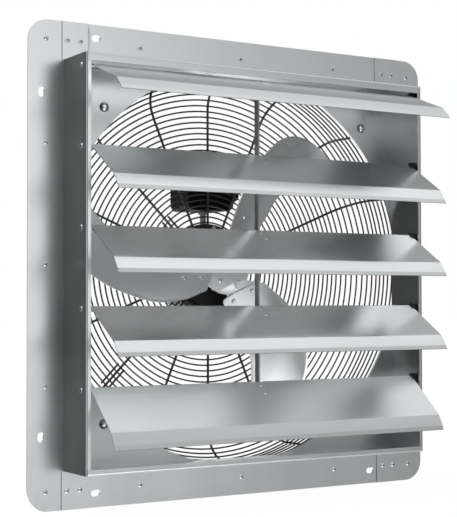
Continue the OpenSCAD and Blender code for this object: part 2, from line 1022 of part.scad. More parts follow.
module fan_spider() {
  color(steel)
    difference() {
      union() {
        rod_y(
          disc_radius,
          wheel_y + blade_sheet + pad_gap,
          wheel_y + blade_sheet + pad_gap + disc_thick
        );
        for (i = [0 : blade_count - 1])
          blade_place(i)
            intersection() {
              translate([0, 0, -wheel_room])
                linear_extrude(height = 2 * wheel_room)
                  polygon(arm_corners);
              camber_shell(blade_sheet + pad_gap, blade_sheet + pad_gap + pad_thick);
            }
      }
      rod_y(shaft_diameter / 2 + 0.3, wheel_y - 10, wheel_y + 20);
      rod_y(hub_flange + 0.4, wheel_y + blade_sheet + pad_gap + disc_thick, wheel_y + 20);
      for (i = [0 : blade_count - 1]) {
        blade_place(i)
          for (spot = blade_rivet_spots)
            through_blade(spot)
              translate([0, 0, -5])
                cylinder(r = 1.7, h = 12);
        rotate([0, i * 360 / blade_count, 0])
          translate([hub_rivet_radius, 0, 0])
            rod_y(1.7, wheel_y - 5, wheel_y + 10);
      }
    }
}

module blade_rivets() {
  color(steel)
    for (i = [0 : blade_count - 1])
      blade_place(i)
        for (spot = blade_rivet_spots)
          through_blade(spot) {
            mirror([0, 0, 1])
              dome(2.7, 1.3);
            translate([0, 0, -0.2])
              cylinder(r = 1.6, h = blade_sheet + pad_gap + pad_thick + 0.4);
            translate([0, 0, blade_sheet + pad_gap + pad_thick + 0.05])
              cylinder(r = 2.5, h = 1);
          }
}

disc_back = wheel_y + blade_sheet + pad_gap + disc_thick;

// Turned hub: a flange riveted to the spider and a boss on the shaft
module fan_hub() {
  color(steel)
    difference() {
      union() {
        rod_y(hub_flange, disc_back + 0.02, disc_back + 4);
        rod_y(hub_boss, disc_back + 3, hub_back);
      }
      rod_y(shaft_diameter / 2 + 0.02, disc_back - 1, hub_back + 1);
      for (i = [0 : blade_count - 1])
        rotate([0, i * 360 / blade_count, 0])
          translate([hub_rivet_radius, 0, 0])
            rod_y(1.7, disc_back - 1, disc_back + 6);
      translate([0, disc_back + 12, 0])
        rod_x(3.03, 0, hub_boss + 2);
    }
}

module hub_rivets() {
  color(steel)
    for (i = [0 : blade_count - 1])
      rotate([0, i * 360 / blade_count, 0])
        translate([hub_rivet_radius, 0, 0]) {
          translate([0, wheel_y + blade_sheet + pad_gap, 0])
            rotate([90, 0, 0])
              dome(2.9, 1.4);
          rod_y(1.6, wheel_y + blade_sheet - 0.2, disc_back + 4.4);
          rod_y(2.4, disc_back + 4.05, disc_back + 5);
        }
}

module hub_set_screw() {
  color(dark_steel)
    translate([0, disc_back + 12, 0])
      difference() {
        rod_x(3, shaft_diameter / 2 + 0.1, hub_boss + 1);
        rotate([0, 90, 0])
          translate([0, 0, hub_boss - 2])
            cylinder(d = 3.4, h = 5, $fn = 6);
      }
}

// Wiring box, behind the guard and above the motor
box_x = 10;
box_y = guard_y + 7.2;
box_z = 68;
wall = 2.5;
nipple_x = 16;
nipple_y = box_y + 30.5;
nipple_radius = 3.7;
gland_y = box_y + 20;
gland_z = box_z + 20;
lid_thick = 2.5;
box_corner = 8;
box_right = box_x + box_width / 2;
box_left = box_x - box_width / 2;

module at_lid_corners() {
  for (x = [box_left + 6, box_right - 6])
    for (z = [box_z + 6, box_z + box_height - 6])
      translate([x, 0, z])
        children();
}

// Outline of the box in X and Z, drawn in by a margin
module box_outline(margin) {
  r = box_corner - margin;
  for (x = [box_left + box_corner, box_right - box_corner])
    for (z = [box_z + box_corner, box_z + box_height - box_corner])
      translate([x, z])
        circle(r);
  translate([box_left + box_corner, box_z + margin])
    square([box_width - 2 * box_corner, box_height - 2 * margin]);
  translate([box_left + margin, box_z + box_corner])
    square([box_width - 2 * margin, box_height - 2 * box_corner]);
}

module wiring_box() {
  color(black)
    difference() {
      union() {
        difference() {
          plate_y(box_y, box_depth)
            box_outline(0);
          plate_y(box_y + wall, box_depth)
            box_outline(wall);
        }
        at_lid_corners()
          rod_y(4.5, box_y + wall - 0.5, box_y + box_depth);
      }
      at_lid_corners()
        rod_y(1.53, box_y + box_depth - 12, box_y + box_depth + 1);
      translate([nipple_x, nipple_y, box_z - 1])
        cylinder(r = nipple_radius + 0.1, h = wall + 2);
      translate([0, gland_y, gland_z])
        rod_x(6.1, box_right - wall - 1, box_right + 1);
    }
}

module box_lid() {
  color(black)
    difference() {
      plate_y(box_y + box_depth, lid_thick)
        box_outline(0);
      at_lid_corners()
        rod_y(1.7, box_y + box_depth - 1, box_y + box_depth + lid_thick + 1);
    }
}

module lid_screws() {
  color(dark_steel)
    at_lid_corners() {
      rod_y(1.5, box_y + box_depth - 9, box_y + box_depth + lid_thick + 0.5);
      translate([0, box_y + box_depth + lid_thick, 0])
        rotate([-90, 0, 0])
          dome(3.1, 1.9);
    }
}

// Short threaded tube that joins the box to the motor and carries the motor's leads
module box_nipple() {
  color(dark_steel)
    translate([nipple_x, nipple_y, 0])
      difference() {
        translate([0, 0, 34])
          cylinder(r = nipple_radius, h = box_z + wall + 5 - 34);
        translate([0, 0, 33])
          cylinder(r = nipple_radius - 1.1, h = box_z + wall + 7 - 33);
      }
}

module nipple_nuts() {
  color(dark_steel)
    for (z = [box_z - 3, box_z + wall])
      translate([nipple_x, nipple_y, z])
        difference() {
          cylinder(d = 13, h = 3, $fn = 6);
          translate([0, 0, -1])
            cylinder(r = nipple_radius + 0.03, h = 5);
        }
}

// Strain-relief gland for the supply cord
module cable_gland() {
  color(black)
    translate([0, gland_y, gland_z])
      difference() {
        union() {
          rod_x(6, box_right - wall - 6, box_right + 3);
          translate([box_right, 0, 0])
            rotate([0, 90, 0])
              cylinder(d = 19, h = 5, $fn = 6);
          rod_x(7.5, box_right + 4, box_right + 13);
          rod_x(5.5, box_right + 12, box_right + 16);
          translate([box_right - wall - 4, 0, 0])
            rotate([0, 90, 0])
              cylinder(d = 17, h = 4, $fn = 6);
        }
        rod_x(3.6, box_right - 20, box_right + 20);
      }
}

module run_capacitor() {
  color([0.75, 0.75, 0.72])
    translate([0, box_y + 26, box_z + box_height - 19.5]) {
      rod_x(13.5, box_left + 11, box_right - 13);
      rod_x(10, box_right - 13, box_right - 11);
    }
}

module terminal_block() {
  color([0.85, 0.83, 0.78])
    translate([box_left + 12, box_y + wall + 0.2, box_z + 8])
      difference() {
        cube([34, 15, 12]);
        for (i = [0 : 2])
          translate([7 + 10 * i, 8, 6])
            rod_y(2.4, 0, 10);
      }
}

left_side_panel();
right_side_panel();
top_panel();
bottom_panel();
venturi_panel();
frame_rivets();
hinge_pins();
hinge_bushes();
louver_1();
louver_2();
louver_3();
louver_4();
louver_5();
crank_1();
crank_2();
crank_3();
crank_4();
crank_5();
crank_rivets_1();
crank_rivets_2();
crank_rivets_3();
crank_rivets_4();
crank_rivets_5();
tie_bar();
guard_face_rings();
guard_rim_rings();
guard_spokes();
guard_rim_spokes();
guard_feet();
guard_bolts();
guard_nuts();
motor_mount_plate();
mount_plate_screws();
motor_front_cover();
motor_rear_cover();
motor_stator();
motor_windings();
motor_through_bolts();
front_bearing();
rear_bearing();
motor_rotor();
motor_shaft();
fan_hub();
fan_spider();
hub_rivets();
hub_set_screw();
fan_blade_1();
fan_blade_2();
fan_blade_3();
blade_rivets();
wiring_box();
box_lid();
lid_screws();
box_nipple();
nipple_nuts();
cable_gland();
run_capacitor();
terminal_block();
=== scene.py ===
# %% [markdown]
# # Shutter exhaust fan: its looks
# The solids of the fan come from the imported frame. These cells give them sheet-metal edges,
# rolled louvers, pressed blades, bent wire and real surfaces, and then light and camera.
# Lengths in the cells are millimetres, and MM turns them into metres.

# %% Load the frame and note its size
import json
import math

import bmesh
import bpy
import numpy as np
from mathutils import Matrix, Vector


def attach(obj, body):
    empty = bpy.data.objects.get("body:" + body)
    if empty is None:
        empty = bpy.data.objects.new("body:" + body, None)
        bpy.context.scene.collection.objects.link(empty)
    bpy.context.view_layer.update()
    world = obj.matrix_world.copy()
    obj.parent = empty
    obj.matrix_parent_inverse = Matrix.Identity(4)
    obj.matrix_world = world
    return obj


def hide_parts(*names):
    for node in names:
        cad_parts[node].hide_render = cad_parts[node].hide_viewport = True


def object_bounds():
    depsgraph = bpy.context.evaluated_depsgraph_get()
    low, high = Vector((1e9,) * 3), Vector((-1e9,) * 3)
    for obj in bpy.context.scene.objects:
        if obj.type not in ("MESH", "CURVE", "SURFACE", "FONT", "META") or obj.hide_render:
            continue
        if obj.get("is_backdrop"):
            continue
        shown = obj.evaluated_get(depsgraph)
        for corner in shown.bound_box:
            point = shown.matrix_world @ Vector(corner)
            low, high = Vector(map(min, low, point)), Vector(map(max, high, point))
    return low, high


MM = 0.001
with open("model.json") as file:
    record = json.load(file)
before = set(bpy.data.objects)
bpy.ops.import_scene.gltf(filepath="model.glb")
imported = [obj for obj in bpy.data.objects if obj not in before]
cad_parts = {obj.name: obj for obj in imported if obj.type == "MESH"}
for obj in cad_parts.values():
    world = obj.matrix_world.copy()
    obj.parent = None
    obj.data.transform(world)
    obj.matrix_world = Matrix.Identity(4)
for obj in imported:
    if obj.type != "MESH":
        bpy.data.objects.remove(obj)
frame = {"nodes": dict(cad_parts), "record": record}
cad_low, cad_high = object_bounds()
print("pieces in the frame:", len(frame["nodes"]))
print("its size in mm:", [round(v / MM, 1) for v in cad_high - cad_low])

# %% [markdown]
# ## Camera
# The view was worked out from the corners of the flange, the louver ends and the slots, which
# are known both in the photograph and on the object. A shift lens can't be guessed by eye, so
# numbers are safer than nudging the camera about.

# %% Place the camera
PHOTO_HEIGHT = 517
FOCAL_PIXELS = 1362.559
CAMERA_PLACE = Vector((-772.59, -1291.667, -43.993)) * MM
YAW, PITCH, ROLL = math.radians(32.475), math.radians(1.841), math.radians(-0.182)
SHIFT_RIGHT, SHIFT_UP = -50.0, 4.452
SENSOR = 36

flat_part = math.cos(PITCH)
forward = Vector((math.sin(YAW) * flat_part, math.cos(YAW) * flat_part, math.sin(PITCH)))
level_right = Vector((math.cos(YAW), -math.sin(YAW), 0))
level_up = level_right.cross(forward)
right = math.cos(ROLL) * level_right + math.sin(ROLL) * level_up
up = math.cos(ROLL) * level_up - math.sin(ROLL) * level_right
lens = bpy.data.cameras.new("photo_camera")
lens.sensor_width = SENSOR
lens.lens = FOCAL_PIXELS / PHOTO_HEIGHT * SENSOR
lens.shift_x = SHIFT_RIGHT / PHOTO_HEIGHT
lens.shift_y = SHIFT_UP / PHOTO_HEIGHT
lens.clip_start, lens.clip_end = 0.05, 50
camera = bpy.data.objects.new("photo_camera", lens)
turn = Matrix((right, up, -forward)).transposed().to_4x4()
camera.matrix_world = Matrix.Translation(CAMERA_PLACE) @ turn
bpy.context.collection.objects.link(camera)
bpy.context.scene.camera = camera
print("lens in mm:", round(lens.lens, 2))

# %% [markdown]
# ## Node helper
# Materials, the sky and the repeating parts are all node trees. One small function adds a
# node and fills its sockets, so that each tree reads as a short recipe.

# %% Write the node helper
def add(tree, kind, inputs=None, **settings):
    """Adds a node. A socket in inputs is linked, and anything else is set as its value."""
    item = tree.nodes.new(kind)
    for name, value in settings.items():
        setattr(item, name, value)
    for key, value in (inputs or {}).items():
        if isinstance(value, bpy.types.NodeSocket):
            tree.links.new(value, item.inputs[key])
        else:
            item.inputs[key].default_value = value
    return item


def ramp(tree, factor, stops):
    """A colour ramp through (position, grey or colour) stops."""
    item = add(tree, "ShaderNodeValToRGB", {"Fac": factor})
    while len(item.color_ramp.elements) < len(stops):
        item.color_ramp.elements.new(0.5)
    for element, (position, value) in zip(item.color_ramp.elements, stops):
        element.position = position
        colour = (value, value, value) if isinstance(value, float) else value
        element.color = (*colour, 1)
    return item.outputs["Color"]


def spread(tree, value, low, high, to_low, to_high, smooth=False):
    """Maps a value from one range to another."""
    kind = "SMOOTHSTEP" if smooth else "LINEAR"
    item = add(tree, "ShaderNodeMapRange", {
        "Value": value, "From Min": low, "From Max": high, "To Min": to_low, "To Max": to_high,
    }, interpolation_type=kind)
    return item.outputs["Result"]


def blank_material(name):
    """A material and its empty node tree."""
    made = bpy.data.materials.new(name)
    made.use_nodes = True
    made.node_tree.nodes.clear()
    return made, made.node_tree


print("node helpers ready")

# %% [markdown]
# ## Light
# Bare sheet metal shows its surroundings more than its own colour. In the photograph the left
# side of the flange is brighter than the right, the louvers shade from grey to nearly white and
# the left wall is dark. A dim sky with twenty soft lobes gives just that. Each lobe is a large
# soft lamp at infinity, and its brightness was fitted to the tones of the photograph. The metal
# sees this sky, and the camera sees plain white in its place.

# %% Build the sky that the metal reflects
WHITE = (1, 1, 1, 1)
SKY_COLOUR = (0.985, 0.992, 1.0, 1)
SKY_BASE = 0.01
SKY_LOBES = [
    # direction, cosine where it starts, cosine where it is full, brightness
    ((0.15, -0.98, 0.10), 0.93, 0.99, 1.38),
    ((0.51, -0.85, -0.12), 0.93, 0.99, 0.32),
    ((0.51, -0.75, 0.42), 0.86, 0.98, 0.31),
    ((0.50, -0.50, 0.71), 0.86, 0.98, 0.25),
    ((0.53, -0.12, 0.84), 0.86, 0.98, 0.59),
    ((0.50, 0.20, 0.84), 0.86, 0.98, 0.34),
    ((0.0, 0.0, 1.0), 0.70, 0.97, 0.26),
    ((-0.50, -0.30, 0.80), 0.70, 0.97, 0.65),
    ((-0.58, 0.36, 0.73), 0.86, 0.98, 3.10),
    ((-1.0, 0.0, 0.0), 0.70, 0.97, 0.60),
    ((-0.61, -0.18, -0.77), 0.86, 0.98, 1.20),
    ((-0.25, -0.84, -0.47), 0.93, 0.99, 0.34),
    ((-0.10, -0.80, -0.60), 0.93, 0.99, 0.65),
    ((0.20, -0.70, -0.70), 0.86, 0.98, 2.40),
    ((0.48, 0.29, -0.83), 0.86, 0.98, 0.80),
    ((0.05, 0.85, -0.50), 0.86, 0.98, 3.20),
    ((0.50, 0.80, -0.30), 0.86, 0.98, 0.25),
    ((0.54, 0.84, 0.0), 0.86, 0.98, 0.95),
    ((0.10, 0.95, 0.10), 0.86, 0.98, 0.80),
    ((0.96, 0.19, -0.21), 0.86, 0.98, 0.26),
]
scene = bpy.context.scene
scene.world = bpy.data.worlds.new("studio_sky")
scene.world.use_nodes = True
sky = scene.world.node_tree
sky.nodes.clear()
heading = add(sky, "ShaderNodeTexCoord").outputs["Generated"]
total = None
for direction, start, full, gain in SKY_LOBES:
    direction = tuple(Vector(direction).normalized())
    along = add(sky, "ShaderNodeVectorMath", {0: heading, 1: direction}, operation="DOT_PRODUCT")
    lobe = spread(sky, along.outputs["Value"], start, full, 0, gain, smooth=True)
    before = SKY_BASE if total is None else total
    total = add(sky, "ShaderNodeMath", {0: before, 1: lobe}, operation="ADD").outputs[0]
seen = add(sky, "ShaderNodeBackground", {"Color": WHITE, "Strength": 1.0})
lit = add(sky, "ShaderNodeBackground", {"Color": SKY_COLOUR, "Strength": total})
path = add(sky, "ShaderNodeLightPath")
either = add(sky, "ShaderNodeMixShader", {
    0: path.outputs["Is Camera Ray"], 1: lit.outputs[0], 2: seen.outputs[0],
})
add(sky, "ShaderNodeOutputWorld", {"Surface": either.outputs[0]})
scene.view_settings.view_transform = "Standard"
print("sky lobes:", len(SKY_LOBES))

# %% Hang one soft lamp
LAMP_PLACE = Vector((-1.2, -1.9, 1.9))
LAMP_WIDTH, LAMP_HEIGHT, LAMP_POWER = 1.6, 1.2, 5.4
lamp_data = bpy.data.lights.new("soft_lamp", "AREA")
lamp_data.shape = "RECTANGLE"
lamp_data.size, lamp_data.size_y = LAMP_WIDTH, LAMP_HEIGHT
lamp_data.energy = LAMP_POWER
lamp = bpy.data.objects.new("soft_lamp", lamp_data)
lamp.location = LAMP_PLACE
lamp.rotation_euler = (-LAMP_PLACE).to_track_quat("-Z", "Y").to_euler()
bpy.context.collection.objects.link(lamp)
print("lamp power in W:", LAMP_POWER)

# %% Lay the floor, which is white to the camera and keeps a soft shadow
FLOOR_DROP, FLOOR_REACH = 0.3, 12
GLOW, GLOW_SHARE = 1.06, 0.9
level = cad_low.z - FLOOR_DROP * MM
floor_corners = [
    (x * FLOOR_REACH, y * FLOOR_REACH, level) for x, y in ((-1, -1), (1, -1), (1, 1), (-1, 1))
]
floor_mesh = bpy.data.meshes.new("floor")
floor_mesh.from_pydata(floor_corners, [], [(0, 1, 2, 3)])
floor = bpy.data.objects.new("floor", floor_mesh)
bpy.context.collection.objects.link(floor)
paper, tree = blank_material("pale_floor")
grain = add(tree, "ShaderNodeTexNoise", {"Scale": 40.0, "Detail": 3.0})
tone = ramp(tree, grain.outputs["Fac"], [(0.3, 0.78), (0.7, 0.8)])
plain = add(tree, "ShaderNodeBsdfDiffuse", {"Color": tone})
glow = add(tree, "ShaderNodeEmission", {"Color": WHITE, "Strength": GLOW})
white = add(tree, "ShaderNodeMixShader", {0: GLOW_SHARE, 1: plain.outputs[0], 2: glow.outputs[0]})
path = add(tree, "ShaderNodeLightPath")
either = add(tree, "ShaderNodeMixShader", {
    0: path.outputs["Is Camera Ray"], 1: plain.outputs[0], 2: white.outputs[0],
})
add(tree, "ShaderNodeOutputMaterial", {"Surface": either.outputs[0]})
floor_mesh.materials.append(paper)
floor.visible_glossy = False
floor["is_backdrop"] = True
print("floor at", round(level / MM, 2), "mm")

# %% [markdown]
# ## Surfaces
# One recipe serves every bare metal: long fine grain from the rolling mill, cloudy patches of
# zinc or handling marks, and a roughness that follows both. The grain is stretched along the
# direction in which the sheet was rolled. Paint and plastic get a second recipe with a fine
# orange-peel or moulded texture.

# %% Write the recipe for bare metal
GRAIN_SHARE, CLOUD_SHARE = 0.35, 0.65
GRAIN_DEPTH, CLOUD_DEPTH = 0.4 * MM, 4 * MM
# Painted shade: marked faces are blended towards this near-black colour.
PAINTED_SHADE_COLOUR = (0.05, 0.05, 0.052, 1)
DULL_EXTRA = 0.3


def metal(name, dark, light, rough, grain, grain_bump, cloud, cloud_bump=0.0):
    """Bare metal: dark and light are its colours, rough its lowest and highest roughness.

    A mesh may mark where painted shade darkens it (blended towards near-black) and where it is
    dull (rougher).
    """
    made, tree = blank_material(name)
    place = add(tree, "ShaderNodeTexCoord").outputs["Object"]
    stretched = add(tree, "ShaderNodeMapping", {"Vector": place, "Scale": grain})
    lines = add(tree, "ShaderNodeTexNoise", {
        "Vector": stretched.outputs[0], "Scale": 1.0, "Detail": 2.0, "Roughness": 0.5,
    }).outputs["Fac"]
    clouds = add(tree, "ShaderNodeTexNoise", {
        "Vector": place, "Scale": float(cloud), "Detail": 5.0, "Roughness": 0.55,
    }).outputs["Fac"]
    mixed = add(tree, "ShaderNodeMath", {0: lines, 1: GRAIN_SHARE}, operation="MULTIPLY")
    mixed = add(tree, "ShaderNodeMath", {
        0: clouds, 1: CLOUD_SHARE, 2: mixed.outputs[0],
    }, operation="MULTIPLY_ADD").outputs[0]
    tint = ramp(tree, mixed, [(0.3, dark), (0.7, light)])
    dull = spread(tree, mixed, 0.32, 0.68, rough[0], rough[1])
    bump = add(tree, "ShaderNodeBump", {
        "Strength": grain_bump, "Distance": GRAIN_DEPTH, "Height": lines,
    })
    if cloud_bump:
        bump = add(tree, "ShaderNodeBump", {
            "Strength": cloud_bump, "Distance": CLOUD_DEPTH, "Height": clouds,
            "Normal": bump.outputs[0],
        })
    # Painted shade: where a mesh marks it, the colour is blended towards near-black.
    recess = add(tree, "ShaderNodeAttribute", attribute_name="recess").outputs["Fac"]
    shaded = add(tree, "ShaderNodeMix", {
        0: recess, 6: tint, 7: PAINTED_SHADE_COLOUR,
    }, data_type="RGBA")
    dull_side = add(tree, "ShaderNodeAttribute", attribute_name="dull_side").outputs["Fac"]
    dulled = add(tree, "ShaderNodeMath", {
        0: dull_side, 1: DULL_EXTRA, 2: dull,
    }, operation="MULTIPLY_ADD")
    shader = add(tree, "ShaderNodeBsdfPrincipled", {
        "Base Color": shaded.outputs[2], "Roughness": dulled.outputs[0], "Metallic": 1.0,
        "Normal": bump.outputs[0],
    })
    add(tree, "ShaderNodeOutputMaterial", {"Surface": shader.outputs[0]})
    return made


print("shares of grain and cloud:", GRAIN_SHARE, CLOUD_SHARE)

# %% Write the recipe for paint and plastic
PEEL_DEPTH = 0.5 * MM


def coated(name, dark, light, rough, peel=900, peel_bump=0.05, coat=0.0, shine=0.5):
    """Paint or moulded plastic with a fine surface texture and a little dust."""
    made, tree = blank_material(name)
    place = add(tree, "ShaderNodeTexCoord").outputs["Object"]
    fine = add(tree, "ShaderNodeTexNoise", {
        "Vector": place, "Scale": float(peel), "Detail": 2.0,
    }).outputs["Fac"]
    clouds = add(tree, "ShaderNodeTexNoise", {
        "Vector": place, "Scale": 30.0, "Detail": 4.0,
    }).outputs["Fac"]
    tint = ramp(tree, clouds, [(0.35, dark), (0.65, light)])
    dull = spread(tree, clouds, 0.3, 0.7, rough[0], rough[1])
    bump = add(tree, "ShaderNodeBump", {
        "Strength": peel_bump, "Distance": PEEL_DEPTH, "Height": fine,
    })
    shader = add(tree, "ShaderNodeBsdfPrincipled", {
        "Base Color": tint, "Roughness": dull, "Coat Weight": coat, "Coat Roughness": 0.15,
        "Normal": bump.outputs[0], "Specular IOR Level": shine,
    })
    add(tree, "ShaderNodeOutputMaterial", {"Surface": shader.outputs[0]})
    return made


print("depth of the peel in mm:", round(PEEL_DEPTH / MM, 2))

# %% Make the surfaces
LOOKS = {
    # recipe, darkest colour, lightest colour, lowest and highest roughness, texture
    "housing_sheet": (
        metal, (0.74, 0.757, 0.76), (0.82, 0.837, 0.84), (0.27, 0.35),
        {"grain": (700, 700, 14), "grain_bump": 0.012, "cloud": 9, "cloud_bump": 0.006}),
    "louver_sheet": (
        metal, (0.79, 0.805, 0.808), (0.85, 0.865, 0.868), (0.22, 0.26),
        {"grain": (2, 500, 500), "grain_bump": 0.004, "cloud": 7, "cloud_bump": 0.004}),
    "blade_aluminium": (
        metal, (0.84, 0.85, 0.855), (0.90, 0.91, 0.915), (0.22, 0.28),
        {"grain": (500, 500, 500), "grain_bump": 0.004, "cloud": 8, "cloud_bump": 0.004}),
    "plated_steel": (
        metal, (0.74, 0.75, 0.76), (0.86, 0.87, 0.88), (0.15, 0.24),
        {"grain": (900, 900, 900), "grain_bump": 0.03, "cloud": 120}),
    "dark_steel": (
        metal, (0.42, 0.425, 0.43), (0.54, 0.545, 0.55), (0.35, 0.50),
        {"grain": (900, 900, 40), "grain_bump": 0.04, "cloud": 60}),
    "black_painted_wire": (
        coated, (0.008, 0.008, 0.009), (0.016, 0.016, 0.017), (0.22, 0.34), {"coat": 0.3}),
    "black_painted_casting": (
        coated, (0.005, 0.005, 0.006), (0.010, 0.010, 0.011), (0.48, 0.60),
        {"peel": 500, "peel_bump": 0.15, "shine": 0.25}),
    "black_plastic": (
        coated, (0.004, 0.004, 0.005), (0.008, 0.008, 0.009), (0.58, 0.70),
        {"peel": 1400, "peel_bump": 0.12, "shine": 0.15}),
    "black_nylon": (
        coated, (0.010, 0.010, 0.011), (0.020, 0.020, 0.021), (0.45, 0.55), {"peel": 1100}),
    "copper_wire": (
        metal, (0.42, 0.17, 0.07), (0.62, 0.30, 0.14), (0.25, 0.38),
        {"grain": (400, 1600, 400), "grain_bump": 0.25, "cloud": 60}),
    "capacitor_can": (
        metal, (0.66, 0.66, 0.65), (0.78, 0.78, 0.77), (0.28, 0.40),
        {"grain": (10, 900, 900), "grain_bump": 0.03, "cloud": 40}),
    "cream_plastic": (
        coated, (0.62, 0.58, 0.48), (0.70, 0.66, 0.56), (0.40, 0.52), {"peel": 1200}),
}
SURFACES = {
    name: recipe(name, dark, light, rough, **texture)
    for name, (recipe, dark, light, rough, texture) in LOOKS.items()
}
slot_of = {part["node"]: part["material_slot"] for part in frame["record"]["subparts"]}
for name, solid in frame["nodes"].items():
    solid.data.materials.clear()
    solid.data.materials.append(SURFACES[slot_of[name]])
print("surfaces:", len(SURFACES))

# %% [markdown]
# ## Helpers for the forms
# No sheet or casting has a perfectly sharp edge. Where a solid already has the right shape, a
# copy of it gets its edges rounded by a few tenths of a millimetre, so that they catch the light.

# %% Write the helpers for pieces
def body_of_node(name):
    """The body on which a node rides."""
    for body, names in frame["record"]["behaviour"]["bodies"].items():
        if name in names:
            return body


def new_piece(name, mesh, surface):
    """A new object with one surface."""
    piece = bpy.data.objects.new(name, mesh)
    bpy.context.collection.objects.link(piece)
    mesh.materials.clear()
    mesh.materials.append(SURFACES[surface])
    return piece


def bake(piece):
    """Turns a piece's modifiers into plain mesh."""
    bpy.context.view_layer.update()
    graph = bpy.context.evaluated_depsgraph_get()
    mesh = bpy.data.meshes.new_from_object(piece.evaluated_get(graph))
    mesh.name = piece.name
    piece.modifiers.clear()
    piece.data = mesh
    return piece


def settle(piece, body, surface, *replaced):
    """Hangs a piece on its body and hides the solids it stands for; surface is not used."""
    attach(piece, body)
    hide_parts(*replaced)
    return piece


def join(name, pieces):
    """Joins pieces into the first one."""
    bpy.ops.object.select_all(action="DESELECT")
    for piece in pieces:
        piece.select_set(True)
    bpy.context.view_layer.objects.active = pieces[0]
    bpy.ops.object.join()
    pieces[0].name = name
    return pieces[0]


print("piece helpers ready")

# %% Write the helpers that shade and round a mesh
CREASE = 50


def smooth(mesh, crease=CREASE):
    """Smooth shading, broken where faces meet at more than crease degrees."""
    for face in mesh.polygons:
        face.use_smooth = True
    mesh.set_sharp_from_angle(angle=math.radians(crease))


def face_outward(mesh, weld=0.0):
    """Turns all faces outward, after joining corners nearer than weld metres."""
    shape = bmesh.new()
    shape.from_mesh(mesh)
    if weld:
        bmesh.ops.remove_doubles(shape, verts=shape.verts, dist=weld)
    bmesh.ops.recalc_face_normals(shape, faces=shape.faces)
    shape.to_mesh(mesh)
    shape.free()


def round_edges(piece, edge, sharp, harden):
    """Rounds by edge millimetres where faces meet at more than sharp degrees."""
    round_off = piece.modifiers.new("edges", "BEVEL")
    round_off.width = edge * MM
    round_off.segments = 2
    round_off.limit_method = "ANGLE"
    round_off.angle_limit = math.radians(sharp)
    round_off.harden_normals = harden
    return bake(piece)


print("edges stay sharp beyond degrees:", CREASE)

# %% Write the helper that copies a solid with rounded edges
WELD = 2e-6
FLAT_ANGLE = 0.6


def formed_copy(name, edge, sharp=40):
    """A copy of a solid with its edges rounded by edge millimetres."""
    shape = bmesh.new()
    shape.from_mesh(frame["nodes"][name].data)
    bmesh.ops.remove_doubles(shape, verts=shape.verts, dist=WELD)
    bmesh.ops.dissolve_limit(
        shape, angle_limit=math.radians(FLAT_ANGLE), verts=shape.verts, edges=shape.edges)
    bmesh.ops.recalc_face_normals(shape, faces=shape.faces)
    mesh = bpy.data.meshes.new(name + "_formed")
    shape.to_mesh(mesh)
    shape.free()
    piece = new_piece(name + "_formed", mesh, slot_of[name])
    smooth(mesh, sharp)
    round_edges(piece, edge, sharp, True)
    return settle(piece, body_of_node(name), slot_of[name], name)


print("corners are joined within mm:", WELD / MM)

# %% [markdown]
# Rivets, pins and bolts sit where their solids are. So their places are read from the frame, and
# each gets a head that is turned from a profile.

# %% Write the helper that finds every solid of a node
def solid_places(name):
    """Low and high corners, in metres, of each separate solid in a node."""
    shape = bmesh.new()
    shape.from_mesh(frame["nodes"][name].data)
    bmesh.ops.remove_doubles(shape, verts=shape.verts, dist=WELD)
    left = set(shape.verts)
    boxes = []
    while left:
        stack = [left.pop()]
        group = []
        while stack:
            corner = stack.pop()
            group.append(corner.co.copy())
            for edge in corner.link_edges:
                other = edge.other_vert(corner)
                if other in left:
                    left.remove(other)
                    stack.append(other)
        points = np.array([tuple(p) for p in group])
        boxes.append((Vector(points.min(0)), Vector(points.max(0))))
    shape.free()
    return sorted(boxes, key=lambda pair: (round(pair[0].x, 4), round(pair[0].z, 4)))


print("flange rivets in the frame:", len(solid_places("frame_rivets")))

# %% Write the helper that turns a profile
LATHE_STEPS = 32


def lathe(name, profile):
    """A turned form about Z from (radius, height) points in millimetres.

    A third number, from 0 to 1, says how much painted shade darkens a point.
    """
    rows, corners, faces = [], [], []
    for radius, height, *_ in profile:
        if radius == 0:
            rows.append([len(corners)])
            corners.append((0, 0, height * MM))
            continue
        rows.append(list(range(len(corners), len(corners) + LATHE_STEPS)))
        for i in range(LATHE_STEPS):
            a = 2 * math.pi * i / LATHE_STEPS
            corners.append((radius * math.cos(a) * MM, radius * math.sin(a) * MM, height * MM))
    for low, high in zip(rows, rows[1:]):
        for i in range(LATHE_STEPS):
            j = (i + 1) % LATHE_STEPS
            if len(low) == 1:
                faces.append((low[0], high[j], high[i]))
            elif len(high) == 1:
                faces.append((low[i], low[j], high[0]))
            else:
                faces.append((low[i], low[j], high[j], high[i]))
    mesh = bpy.data.meshes.new(name)
    mesh.from_pydata(corners, [], faces)
    # Painted shade: the third number of each profile point darkens that ring of the head.
    marks = mesh.attributes.new("recess", "FLOAT", "POINT")
    for row, (_, _, *recess) in zip(rows, profile):
        for corner in row:
            marks.data[corner].value = recess[0] if recess else 0.0
    smooth(mesh)
    return mesh


print("steps round a turned form:", LATHE_STEPS)

# %% [markdown]
# ## Heads of rivets and screws
# The same head sits in dozens of places. One turned head is set out on points by a small node
# tree, each turned to the direction in which its point faces.

# %% Write the helpers for node trees that make forms
def form_tree(name, inputs, output):
    """A geometry tree with its inputs, given as title and kind, and the node that holds them."""
    tree = bpy.data.node_groups.new(name, "GeometryNodeTree")
    for title, kind in inputs.items():
        tree.interface.new_socket(title, in_out="INPUT", socket_type="NodeSocket" + kind)
    tree.interface.new_socket(output, in_out="OUTPUT", socket_type="NodeSocketGeometry")
    return tree, add(tree, "NodeGroupInput")


def named(tree, attribute, kind):
    """The value of a point's attribute."""
    item = add(tree, "GeometryNodeInputNamedAttribute", {"Name": attribute}, data_type=kind)
    return item.outputs["Attribute"]


